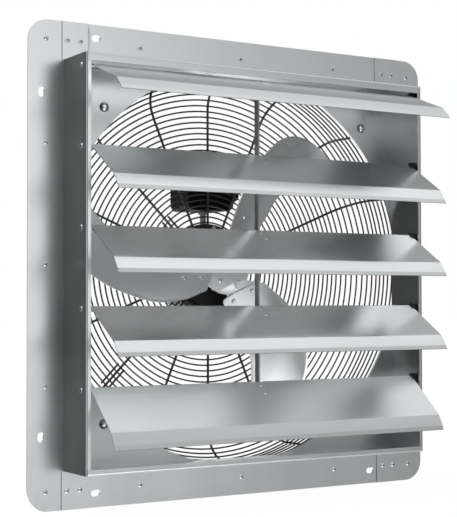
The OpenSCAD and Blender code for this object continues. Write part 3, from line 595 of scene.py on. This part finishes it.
def set_input(modifier, name, value):
    """Sets a tree's input by its title."""
    for item in modifier.node_group.interface.items_tree:
        if item.item_type == "SOCKET" and item.in_out == "INPUT" and item.name == name:
            modifier[item.identifier] = value
            return
    raise KeyError(name)


print("tree helpers ready")

# %% Build the tree that sets heads out on points
def head_tree():
    """Sets a head on every point, turned to the point's own direction."""
    tree, given = form_tree("set_out_heads", {
        "Points": "Geometry", "Head": "Object", "Surface": "Material",
    }, "Heads")
    head = add(tree, "GeometryNodeObjectInfo", {"Object": given.outputs["Head"]})
    turned = add(tree, "FunctionNodeAlignRotationToVector", {
        "Vector": named(tree, "facing", "FLOAT_VECTOR"),
    }, axis="Z")
    placed = add(tree, "GeometryNodeInstanceOnPoints", {
        "Points": given.outputs["Points"], "Instance": head.outputs["Geometry"],
        "Rotation": turned.outputs[0],
    })
    real = add(tree, "GeometryNodeRealizeInstances", {"Geometry": placed.outputs[0]})
    coloured = add(tree, "GeometryNodeSetMaterial", {
        "Geometry": real.outputs[0], "Material": given.outputs["Surface"],
    })
    add(tree, "NodeGroupOutput", {"Heads": coloured.outputs[0]})
    return tree


HEAD_TREE = head_tree()


def set_out(name, places, profile, surface):
    """Heads of one profile at (point in metres, direction) places, as one piece."""
    mesh = bpy.data.meshes.new(name)
    mesh.from_pydata([tuple(point) for point, _ in places], [], [])
    facing = mesh.attributes.new("facing", "FLOAT_VECTOR", "POINT")
    for item, (_, direction) in zip(facing.data, places):
        item.vector = direction
    piece = new_piece(name, mesh, surface)
    head = bpy.data.objects.new(name + "_head", lathe(name + "_head", profile))
    modifier = piece.modifiers.new("heads", "NODES")
    modifier.node_group = HEAD_TREE
    set_input(modifier, "Head", head)
    set_input(modifier, "Surface", SURFACES[surface])
    bake(piece)
    bpy.data.objects.remove(head)
    return piece


print("head tree nodes:", len(HEAD_TREE.nodes))

# %% [markdown]
# ## Louvers
# Each louver is one strip of thin aluminium. Its upper edge is rolled round the hinge pins, and
# its lower part is bent twice into a stiff lip with a narrow edge. The roll is cut away in the
# middle, where the crank sits. A thin sheet is never quite flat, so a slow wave of a tenth of a
# millimetre is put into it: that is what makes its reflection flow.

# %% Write the helpers for a bent sheet
BEND_STEPS = 4
BULGE = 0.32


def bent_line(points, radius):
    """A line through the points with its inner corners rounded."""
    line = [Vector(points[0])]
    for before, here, after in zip(points, points[1:], points[2:]):
        here = Vector(here)
        arrive = (here - Vector(before)).normalized()
        leave = (Vector(after) - here).normalized()
        reach = radius * math.tan(arrive.angle(leave) / 2)
        start, end = here - arrive * reach, here + leave * reach
        for i in range(BEND_STEPS + 1):
            t = i / BEND_STEPS
            line.append((1 - t) ** 2 * start + 2 * t * (1 - t) * here + t * t * end)
    line.append(Vector(points[-1]))
    return line


def thicken(line, thick):
    """Closed outline of a sheet with rounded ends along a line."""
    ahead = [line[min(i + 1, len(line) - 1)] - line[max(i - 1, 0)] for i in range(len(line))]
    sides = [Vector((-a.y, a.x)).normalized() * thick / 2 for a in ahead]
    outline = [p + s for p, s in zip(line, sides)]
    outline.append(line[-1] + ahead[-1].normalized() * thick * BULGE)
    outline += [p - s for p, s in zip(reversed(line), reversed(sides))]
    outline.append(line[0] - ahead[0].normalized() * thick * BULGE)
    return outline


print("steps round a bend:", BEND_STEPS)

# %% Draw the louver's section
LOUVER_HALF = 202.0
SHEET = 0.8
CURL = 2.45
FLAT = 63.5
LIP, LIP_TURN = 13.6, 22.0
EDGE, EDGE_TURN = 4.4, 12.0
BEND = 1.2
NOTCH = (-12.1, 1.9)
FLAT_STEPS, CURL_STEPS = 14, 22
CURL_START, CURL_TURN = 90, 260


def lower_line():
    """Middle of the sheet from the hinge down to the free edge: x is down, y is outward."""
    points = [(0.0, CURL), (FLAT, CURL)]
    angle = 0.0
    for length, turned in ((LIP, LIP_TURN), (EDGE, EDGE_TURN)):
        angle -= math.radians(turned)
        x, y = points[-1]
        points.append((x + length * math.cos(angle), y + length * math.sin(angle)))
    line = bent_line(points, BEND)
    flat = [Vector((FLAT * i / FLAT_STEPS, CURL)) for i in range(FLAT_STEPS)]
    return flat + line[1:]


def curl_line():
    """Middle of the rolled hinge, from the top of the pin round to where the roll ends."""
    turns = [CURL_START + CURL_TURN * i / CURL_STEPS for i in range(CURL_STEPS + 1)]
    angles = [math.radians(turn) for turn in turns]
    return [Vector((CURL * math.cos(a), CURL * math.sin(a))) for a in angles]


LOWER = thicken(lower_line(), SHEET)
CURLED = thicken(curl_line(), SHEET)
print("points in the section:", len(LOWER), "and", len(CURLED))

# %% Place a point of a louver in the world
PIN_Y = -44.0
PIN_TOP = 198.0
PIN_STEP = 81.2
OPEN = {1: 70.0, 2: 58.7, 3: 58.7, 4: 58.7, 5: 50.4}


def wave(number, x, down):
    """A slow wave in millimetres across a louver's flat part, none at the hinge."""
    grow = min(1.0, max(0.0, down) / 25)
    a = math.sin(x / 61 + number * 1.7) * math.sin(down / 33 + number)
    b = math.sin(x / 34 - number * 2.3 + down / 29)
    return grow * (0.10 * a + 0.05 * b)


def louver_point(number, x, down, out):
    """World point, in metres, of a louver's own x (along), down and out coordinates."""
    turn = math.radians(180 - OPEN[number])
    out = out + wave(number, x, down)
    y = PIN_Y + out * math.cos(turn) - down * math.sin(turn)
    z = PIN_TOP - PIN_STEP * (number - 1) + out * math.sin(turn) + down * math.cos(turn)
    return (x * MM, y * MM, z * MM)


print("louvers open by degrees:", OPEN)

# %% [markdown]
# The top and bottom louvers are duller than the rest, and painted shade darkens the cut face
# along every free edge. A louver's faces are marked for both, and the material reads the marks.

# %% Roll and bend the five louvers
DULL = {1: 0.7, 2: 0.0, 3: 0.0, 4: 0.0, 5: 0.35}
DULL_UNDER = 0.2
PAINTED_CUT_SHADE = 0.8
STRIPS = (
    # section, from, to, steps
    (LOWER, -LOUVER_HALF, LOUVER_HALF, 64),
    (CURLED, -LOUVER_HALF, NOTCH[0], 12),
    (CURLED, NOTCH[1], LOUVER_HALF, 12),
)


def strip(corners, faces, number, outline, x0, x1, steps):
    """Adds a strip of the outline from x0 to x1 to a mesh's corners and faces."""
    first = len(corners)
    count = len(outline)
    for i in range(steps + 1):
        x = x0 + (x1 - x0) * i / steps
        corners += [louver_point(number, x, p.x, p.y) for p in outline]
    for i in range(steps):
        a, b = first + i * count, first + (i + 1) * count
        for j in range(count):
            k = (j + 1) % count
            faces.append((a + j, a + k, b + k, b + j))
    faces.append(tuple(range(first + count - 1, first - 1, -1)))
    last = first + steps * count
    faces.append(tuple(range(last, last + count)))


for number in OPEN:
    corners, faces = [], []
    for outline, start, end, steps in STRIPS:
        strip(corners, faces, number, outline, start, end, steps)
    mesh = bpy.data.meshes.new("louver_%d_sheet" % number)
    mesh.from_pydata(corners, [], faces)
    face_outward(mesh)
    smooth(mesh)
    sides = mesh.attributes.new("dull_side", "FLOAT", "FACE")
    turn = math.radians(180 - OPEN[number])
    weather_side = Vector((0, math.cos(turn), math.sin(turn)))
    for side, face in zip(sides.data, mesh.polygons):
        underside = face.normal.dot(weather_side) < -0.3
        side.value = DULL_UNDER if underside else DULL[number]
    # Painted shade: the cut face along the free edge is darkened, standing for the shadow under
    # the lip.
    cut = mesh.attributes.new("recess", "FLOAT", "FACE")
    fall = math.radians(OPEN[number] - LIP_TURN - EDGE_TURN)
    fall = Vector((0, -math.sin(fall), -math.cos(fall)))
    for mark, face in zip(cut.data, mesh.polygons):
        mark.value = PAINTED_CUT_SHADE if face.normal.dot(fall) > 0.6 else 0.0
    piece = new_piece("louver_%d_sheet" % number, mesh, "louver_sheet")
    settle(piece, "louver_%d_body" % number, "louver_sheet", "louver_%d" % number)
print("louvers rolled:", len(OPEN))

# %% Give the cranks, their rivets and the tie bar worn edges
for number in OPEN:
    formed_copy("crank_%d" % number, 0.2)
    formed_copy("crank_rivets_%d" % number, 0.15)
formed_copy("tie_bar", 0.25)
print("linkage done")

# %% [markdown]
# ## Housing
# Four bent panels make the square housing, riveted at the corners of the flange to a rear panel
# with the round opening. The shapes come from the solids and the rounding is what a press brake
# and a shear leave. The inside of the box and both side walls are darker than the flange: painted
# shade darkens the inner faces and the outer faces of the side walls.

# %% Bend the housing panels
INSIDE = 203.5 * MM
FRONT_EDGE, FLANGE_EDGE = -74 * MM, -5 * MM
# Painted shade on the outer faces of the side walls, and on the inner faces of each panel.
WALL_PAINTED_SHADE = 0.4
PANEL_PAINTED_SHADE = {
    "left_side_panel": 0.5, "right_side_panel": 0.5, "top_panel": 0.3, "bottom_panel": 0.45,
    "venturi_panel": 0.15,
}
for name, inner_shade in PANEL_PAINTED_SHADE.items():
    panel = formed_copy(name, 0.22, sharp=30)
    # Painted shade: each panel's inner faces are darkened by its own value, and the outer faces
    # of the side walls by a common one.
    panel_shade = panel.data.attributes.new("recess", "FLOAT", "FACE")
    for mark, face in zip(panel_shade.data, panel.data.polygons):
        middle, facing = face.center, face.normal
        within = abs(middle.x) < INSIDE and abs(middle.z) < INSIDE and middle.y > FRONT_EDGE
        inward = facing.y < -0.3 or facing.x * middle.x + facing.z * middle.z < -0.3 * INSIDE
        outward = abs(facing.x) > 0.9 and facing.x * middle.x > 0 and middle.y < FLANGE_EDGE
        mark.value = inner_shade if within and inward else WALL_PAINTED_SHADE if outward else 0.0
formed_copy("hinge_bushes", 0.4)
print("housing done")

# %% Set the flange rivets
def front_and_back(boxes, rise):
    """Places on the -Y side and on the +Y side of each solid, rise millimetres inside its end."""
    front, back = [], []
    for low, high in boxes:
        x, z = (low.x + high.x) / 2, (low.z + high.z) / 2
        front.append((Vector((x, low.y + rise[0] * MM, z)), Vector((0, -1, 0))))
        back.append((Vector((x, high.y - rise[1] * MM, z)), Vector((0, 1, 0))))
    return front, back


# The third numbers are painted shade in the hollow of the mandrel.
POP_RIVET = [
    (2.55, -0.25), (2.6, 0.0), (2.6, 0.25), (2.4, 0.6), (2.0, 0.88), (1.5, 1.04), (1.12, 1.1),
    (0.98, 1.02, 0.3), (0.9, 0.5, 0.6), (0.86, -0.3, 0.6), (0, -0.35, 0.6),
]
CLINCHED = [(2.3, -0.2), (2.4, 0.0), (2.4, 0.7), (2.1, 1.1), (1.2, 1.3), (0, 1.32)]
front, back = front_and_back(solid_places("frame_rivets"), (1.1, 1.3))
rivets = join("flange_rivets", [
    set_out("flange_rivets", front, POP_RIVET, "plated_steel"),
    set_out("flange_rivet_tails", back, CLINCHED, "plated_steel"),
])
settle(rivets, "housing_and_guard", "plated_steel", "frame_rivets")
print("flange rivets:", len(front))

# %% Set the hinge pins
PIN_RISE = 1.5
PIN_SHANK = [(0, -22.5), (1.9, -22.4), (2.0, -22.0), (2.0, -0.2)]
# The third numbers are painted shade, darkest at the rim of the head and lightest on top.
PIN_HEAD = [
    (3.1, -0.3, 0.8), (3.2, 0.0, 0.8), (3.2, 0.35, 0.7), (2.9, 0.8, 0.5), (2.2, 1.2, 0.3),
    (1.2, 1.45, 0.2), (0, 1.5, 0.2),
]
pins = []
for low, high in solid_places("hinge_pins"):
    side = -1 if low.x < 0 else 1
    y, z = (low.y + high.y) / 2, (low.z + high.z) / 2
    outer = (low.x if side < 0 else high.x) - side * PIN_RISE * MM
    pins.append((Vector((outer, y, z)), Vector((side, 0, 0))))
pieces = [
    set_out("pin_heads", pins, PIN_HEAD, "plated_steel"),
    set_out("pin_shanks", pins, PIN_SHANK, "plated_steel"),
]
settle(join("hinge_pin_set", pieces), "housing_and_guard", "plated_steel", "hinge_pins")
print("hinge pins:", len(pins))

# %% Set the guard's bolts
BOLT_END = [(2.5, -9.0), (2.5, -0.3), (2.2, 0.0), (0, 0.0)]
# The third numbers are painted shade, darkest at the foot of the dome and lightest on top.
BOLT_HEAD = [
    (5.0, -0.3, 0.9), (5.2, 0.0, 0.9), (5.15, 0.4, 0.85), (4.8, 1.2, 0.75), (4.2, 1.9, 0.6),
    (3.4, 2.5, 0.4), (2.4, 2.95, 0.2), (1.2, 3.15, 0.1), (0, 3.2, 0.1),
]
front, back = front_and_back(solid_places("guard_bolts"), (3.2, 0.0))
pieces = [
    set_out("bolt_heads", front, BOLT_HEAD, "plated_steel"),
    set_out("bolt_ends", back, BOLT_END, "plated_steel"),
]
settle(join("guard_bolt_set", pieces), "housing_and_guard", "plated_steel", "guard_bolts")
print("guard bolts:", len(front))

# %% [markdown]
# ## Wire guard
# Thirty-four rings are welded over sixteen bent spokes. Every ring is a circle of another size,
# and every spoke is the same bent wire turned a step further, so two node trees make them all.

# %% Build the tree for rings
def ring_tree():
    """Draws a wire ring round every point, with the point's own radius."""
    tree, given = form_tree("wire_rings", {
        "Centres": "Geometry", "Wire Radius": "Float", "Surface": "Material",
    }, "Rings")
    circle = add(tree, "GeometryNodeCurvePrimitiveCircle", {"Resolution": 144, "Radius": 1.0})
    size = named(tree, "ring_radius", "FLOAT")
    scale = add(tree, "ShaderNodeCombineXYZ", {0: size, 1: size, 2: 1.0})
    placed = add(tree, "GeometryNodeInstanceOnPoints", {
        "Points": given.outputs["Centres"], "Instance": circle.outputs[0],
        "Rotation": (math.pi / 2, 0, 0), "Scale": scale.outputs[0],
    })
    real = add(tree, "GeometryNodeRealizeInstances", {"Geometry": placed.outputs[0]})
    even = add(tree, "GeometryNodeSetCurveRadius", {"Curve": real.outputs[0], "Radius": 1.0})
    section = add(tree, "GeometryNodeCurvePrimitiveCircle", {
        "Resolution": 10, "Radius": given.outputs["Wire Radius"],
    })
    wire = add(tree, "GeometryNodeCurveToMesh", {
        "Curve": even.outputs[0], "Profile Curve": section.outputs[0],
    })
    coloured = add(tree, "GeometryNodeSetMaterial", {
        "Geometry": wire.outputs[0], "Material": given.outputs["Surface"],
    })
    add(tree, "NodeGroupOutput", {"Rings": coloured.outputs[0]})
    return tree


RING_TREE = ring_tree()
print("ring tree nodes:", len(RING_TREE.nodes))

# %% Build the tree for spokes
def spoke_tree():
    """Draws wire along a line and repeats it round the fan's axis."""
    tree, given = form_tree("bent_spokes", {
        "Centreline": "Geometry", "Wire Radius": "Float", "Count": "Int", "First Turn": "Float",
        "Surface": "Material",
    }, "Spokes")
    line = add(tree, "GeometryNodeMeshToCurve", {"Mesh": given.outputs["Centreline"]})
    even = add(tree, "GeometryNodeSetCurveRadius", {"Curve": line.outputs[0], "Radius": 1.0})
    section = add(tree, "GeometryNodeCurvePrimitiveCircle", {
        "Resolution": 12, "Radius": given.outputs["Wire Radius"],
    })
    wire = add(tree, "GeometryNodeCurveToMesh", {
        "Curve": even.outputs[0], "Profile Curve": section.outputs[0], "Fill Caps": True,
    })
    points = add(tree, "GeometryNodePoints", {"Count": given.outputs["Count"]})
    index = add(tree, "GeometryNodeInputIndex")
    step = add(tree, "ShaderNodeMath", {
        0: 2 * math.pi, 1: given.outputs["Count"],
    }, operation="DIVIDE")
    angle = add(tree, "ShaderNodeMath", {
        0: index.outputs[0], 1: step.outputs[0], 2: given.outputs["First Turn"],
    }, operation="MULTIPLY_ADD")
    turned = add(tree, "ShaderNodeCombineXYZ", {1: angle.outputs[0]})
    placed = add(tree, "GeometryNodeInstanceOnPoints", {
        "Points": points.outputs[0], "Instance": wire.outputs[0], "Rotation": turned.outputs[0],
    })
    real = add(tree, "GeometryNodeRealizeInstances", {"Geometry": placed.outputs[0]})
    coloured = add(tree, "GeometryNodeSetMaterial", {
        "Geometry": real.outputs[0], "Material": given.outputs["Surface"],
    })
    add(tree, "NodeGroupOutput", {"Spokes": coloured.outputs[0]})
    return tree


SPOKE_TREE = spoke_tree()
print("spoke tree nodes:", len(SPOKE_TREE.nodes))

# %% Weld the rings
FIRST_RING, LAST_RING, RING_STEPS = 53.4, 181.4, 20
GUARD_Y, SHOULDER = 76.0, 38.0
SHOULDER_Y = GUARD_Y - SHOULDER
WALL_RING = 219.4
RING_WIRE, SPOKE_WIRE, BASE_WIRE, BRACE_WIRE = 2.2, 2.8, 3.4, 2.4
DRAWN_THINNER = 0.3
WIRE_STEP = (RING_WIRE + SPOKE_WIRE) / 2 - 0.25
SPOKE_WALL = WALL_RING - WIRE_STEP
BASE_Y = 2.2 + 2.1 + BASE_WIRE / 2 - 0.05
BASE_RING = SPOKE_WALL + (SPOKE_WIRE + BASE_WIRE) / 2 - 0.2
GUARD = "black_painted_wire"


def rings(name, places, wire):
    """Rings of (radius, y) in millimetres."""
    mesh = bpy.data.meshes.new(name)
    mesh.from_pydata([(0, y * MM, 0) for _, y in places], [], [])
    size = mesh.attributes.new("ring_radius", "FLOAT", "POINT")
    for item, (radius, _) in zip(size.data, places):
        item.value = radius * MM
    piece = new_piece(name, mesh, GUARD)
    modifier = piece.modifiers.new("rings", "NODES")
    modifier.node_group = RING_TREE
    set_input(modifier, "Wire Radius", wire / 2 * MM)
    set_input(modifier, "Surface", SURFACES[GUARD])
    return bake(piece)


pitch = (LAST_RING - FIRST_RING) / RING_STEPS
seen_wire = RING_WIRE - DRAWN_THINNER
flat_field = [(FIRST_RING + pitch * i, GUARD_Y) for i in range(RING_STEPS + 1)]
shoulder = []
for turn in range(10, 91, 10):
    a = math.radians(turn)
    shoulder.append((LAST_RING + SHOULDER * math.sin(a), SHOULDER_Y + SHOULDER * math.cos(a)))
wall = [(WALL_RING, SHOULDER_Y - (SHOULDER_Y - BASE_Y) * i / 4) for i in (1, 2, 3)]
face_rings = rings("guard_flat_rings", flat_field, seen_wire)
settle(face_rings, "housing_and_guard", GUARD, "guard_face_rings")
rim = join("guard_basket_rings", [
    rings("guard_basket_rings", shoulder + wall, seen_wire),
    rings("guard_base_ring", [(BASE_RING, BASE_Y)], BASE_WIRE),
])
settle(rim, "housing_and_guard", GUARD, "guard_rim_rings")
print("rings:", len(flat_field) + len(shoulder) + len(wall) + 1)

# %% [markdown]
# Beside each diagonal spoke lie two pairs of short braces. The inner pair joins the first rings
# near the motor, and the outer pair ends just outside the last flat ring.

# %% Bend the spokes and add the braces
SPOKES = 16
SPOKE_START = 45.0
BRACE_SIDE, BRACE_LIFT = 5.0, 0.1


def spokes(name, line, wire, count, first_turn=0.0):
    """Wires along a line of (radius, y, sideways) points, turned about the fan's axis."""
    mesh = bpy.data.meshes.new(name)
    corners = [(r * MM, y * MM, z * MM) for r, y, z in line]
    mesh.from_pydata(corners, [(i, i + 1) for i in range(len(line) - 1)], [])
    piece = new_piece(name, mesh, GUARD)
    modifier = piece.modifiers.new("spokes", "NODES")
    modifier.node_group = SPOKE_TREE
    set_input(modifier, "Wire Radius", wire / 2 * MM)
    set_input(modifier, "Count", count)
    set_input(modifier, "First Turn", math.radians(first_turn))
    set_input(modifier, "Surface", SURFACES[GUARD])
    return bake(piece)


field_y = GUARD_Y - WIRE_STEP
bend = SHOULDER - WIRE_STEP
line = [(SPOKE_START, field_y, 0), (110, field_y, 0)]
for i in range(13):
    a = math.radians(90 * i / 12)
    line.append((LAST_RING + bend * math.sin(a), SHOULDER_Y + bend * math.cos(a), 0))
line.append((SPOKE_WALL, BASE_Y - 0.5, 0))
pieces = [spokes("guard_spoke_set", line, SPOKE_WIRE, SPOKES)]
for side in (-BRACE_SIDE, BRACE_SIDE):
    for start, end in (
        (SPOKE_START + 0.6, FIRST_RING + 3.8 * pitch), (LAST_RING - 4.1 * pitch, LAST_RING + 3.6),
    ):
        short = [(at, field_y + BRACE_LIFT, side) for at in (start, end)]
        pieces.append(spokes("brace", short, BRACE_WIRE, 4, 45))
spoke_set = join("guard_spoke_set", pieces)
settle(spoke_set, "housing_and_guard", GUARD, "guard_spokes", "guard_rim_spokes")
for name in ("guard_feet", "motor_mount_plate", "guard_nuts"):
    formed_copy(name, 0.3)
print("spokes:", SPOKES)

# %% [markdown]
# ## Fan wheel
# Each blade is one pressing: narrow at the root, swept and broad at the tip, and curved across
# its width to a radius of 150 mm. The mesh is ruled between the blade's two sides, which keeps
# long smooth quads that shade like pressed sheet.

# %% Draw the blade's outline
BLADE_CORNERS = [
    (31, -25), (45, -36), (70, -46), (102, -50.5), (128, -43), (154, -30), (174, -11),
    (187, 12), (192.5, 36), (190, 60), (179, 72), (160, 56), (135, 32), (107, 19),
    (85, 18), (65, 17), (45, 19), (31, 17),
]


def smooth_outline(points, steps):
    """A smooth closed curve through the points."""
    made = []
    n = len(points)
    for i in range(n):
        a, b, c, d = (Vector(points[(i + j) % n]) for j in (-1, 0, 1, 2))
        for j in range(steps):
            t = j / steps
            made.append(0.5 * (
                2 * b + (c - a) * t + (2 * a - 5 * b + 4 * c - d) * t * t
                + (3 * b - a - 3 * c + d) * t ** 3))
    return made


def even_steps(line, count):
    """The line again with evenly spaced points."""
    lengths = [0.0]
    for p, q in zip(line, line[1:]):
        lengths.append(lengths[-1] + (q - p).length)
    xs = [p.x for p in line]
    ys = [p.y for p in line]
    where = np.linspace(0, lengths[-1], count)
    return list(zip(np.interp(where, lengths, xs), np.interp(where, lengths, ys)))


STEPS_PER_CORNER, TIP_CORNER = 10, 10
ALONG = 72
outline = smooth_outline(BLADE_CORNERS, STEPS_PER_CORNER)
tip = TIP_CORNER * STEPS_PER_CORNER
leading = even_steps(outline[:tip + 1], ALONG)
trailing = even_steps([outline[0]] + outline[:tip - 1:-1], ALONG)
print("points along each side of a blade:", len(leading), len(trailing))

# %% Rule the blade between its two sides
BLADE_SHEET = 1.2
CAMBER, CAMBER_MIDDLE = 150.0, 4.0
ACROSS = 22


def blade_height(x, y, lift):
    """Height of the curved sheet at y across; x along the radius is not used."""
    return math.sqrt((CAMBER + lift) ** 2 - (y - CAMBER_MIDDLE) ** 2) - CAMBER


def blade_mesh(name):
    """One blade, flat on X and Y with its root towards the axis."""
    corners, faces = [], []
    for lift in (0.0, BLADE_SHEET):
        for i in range(ALONG):
            for j in range(ACROSS):
                t = j / (ACROSS - 1)
                x = leading[i][0] * (1 - t) + trailing[i][0] * t
                y = leading[i][1] * (1 - t) + trailing[i][1] * t
                corners.append((x * MM, y * MM, blade_height(x, y, lift) * MM))
    layer = ALONG * ACROSS
    for i in range(ALONG - 1):
        for j in range(ACROSS - 1):
            a = i * ACROSS + j
            quad = (a, a + 1, a + ACROSS + 1, a + ACROSS)
            faces.append(quad)
            faces.append(tuple(layer + c for c in reversed(quad)))
    rim_line = [i * ACROSS for i in range(ALONG)]
    rim_line += [(ALONG - 1) * ACROSS + j for j in range(1, ACROSS)]
    rim_line += [i * ACROSS + ACROSS - 1 for i in range(ALONG - 2, -1, -1)]
    rim_line += [j for j in range(ACROSS - 2, 0, -1)]
    for a, b in zip(rim_line, rim_line[1:] + rim_line[:1]):
        faces.append((a, b, b + layer, a + layer))
    mesh = bpy.data.meshes.new(name)
    mesh.from_pydata(corners, [], faces)
    face_outward(mesh, weld=WELD / 2)
    return mesh


print("points across a blade:", ACROSS)

# %% Press the three blades
BLADES = 3
WHEEL_Y, FIRST_BLADE, BLADE_PITCH = 30.0, 58.0, 24.0
for i in range(BLADES):
    name = "fan_blade_%d" % (i + 1)
    mesh = blade_mesh(name + "_pressed")
    place = (
        Matrix.Translation((0, WHEEL_Y * MM, 0))
        @ Matrix.Rotation(math.radians(-FIRST_BLADE - 360 / BLADES * i), 4, "Y")
        @ Matrix.Rotation(math.radians(BLADE_PITCH - 90), 4, "X")
    )
    mesh.transform(place)
    piece = new_piece(name + "_pressed", mesh, "blade_aluminium")
    round_edges(piece, 0.3, CREASE, False)
    smooth(piece.data)
    settle(piece, "fan_wheel", "blade_aluminium", name)
print("blades pressed, faces each:", len(piece.data.polygons))

# %% Finish the spider, hub, shaft and rivets
for name, edge in {
    "fan_spider": 0.3, "fan_hub": 0.3, "blade_rivets": 0.2, "hub_rivets": 0.2,
    "hub_set_screw": 0.15, "motor_shaft": 0.4,
}.items():
    formed_copy(name, edge)
print("wheel done")

# %% [markdown]
# ## Motor and wiring box
# Black painted covers on a bare steel stack, and a moulded box with a screwed lid. Their solids
# have the right shape already, so they get rounded edges and their surfaces.

# %% Finish the motor, the box and their small parts
for name, edge in {
    "motor_front_cover": 0.8, "motor_rear_cover": 0.8, "motor_stator": 0.2, "motor_windings": 1.5,
    "motor_through_bolts": 0.4, "mount_plate_screws": 0.3, "wiring_box": 0.8, "box_lid": 0.6,
    "lid_screws": 0.2, "box_nipple": 0.3, "nipple_nuts": 0.4, "cable_gland": 0.4,
    "run_capacitor": 1.0, "terminal_block": 0.5, "front_bearing": 0.4, "rear_bearing": 0.4,
    "motor_rotor": 0.4,
}.items():
    formed_copy(name, edge)
print("motor and box done")

# %% Note the sizes and finish
low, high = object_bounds()
print("CAD box in mm:", [round(v / MM, 2) for v in (*cad_low, *cad_high)])
print("visual box in mm:", [round(v / MM, 2) for v in (*low, *high)])
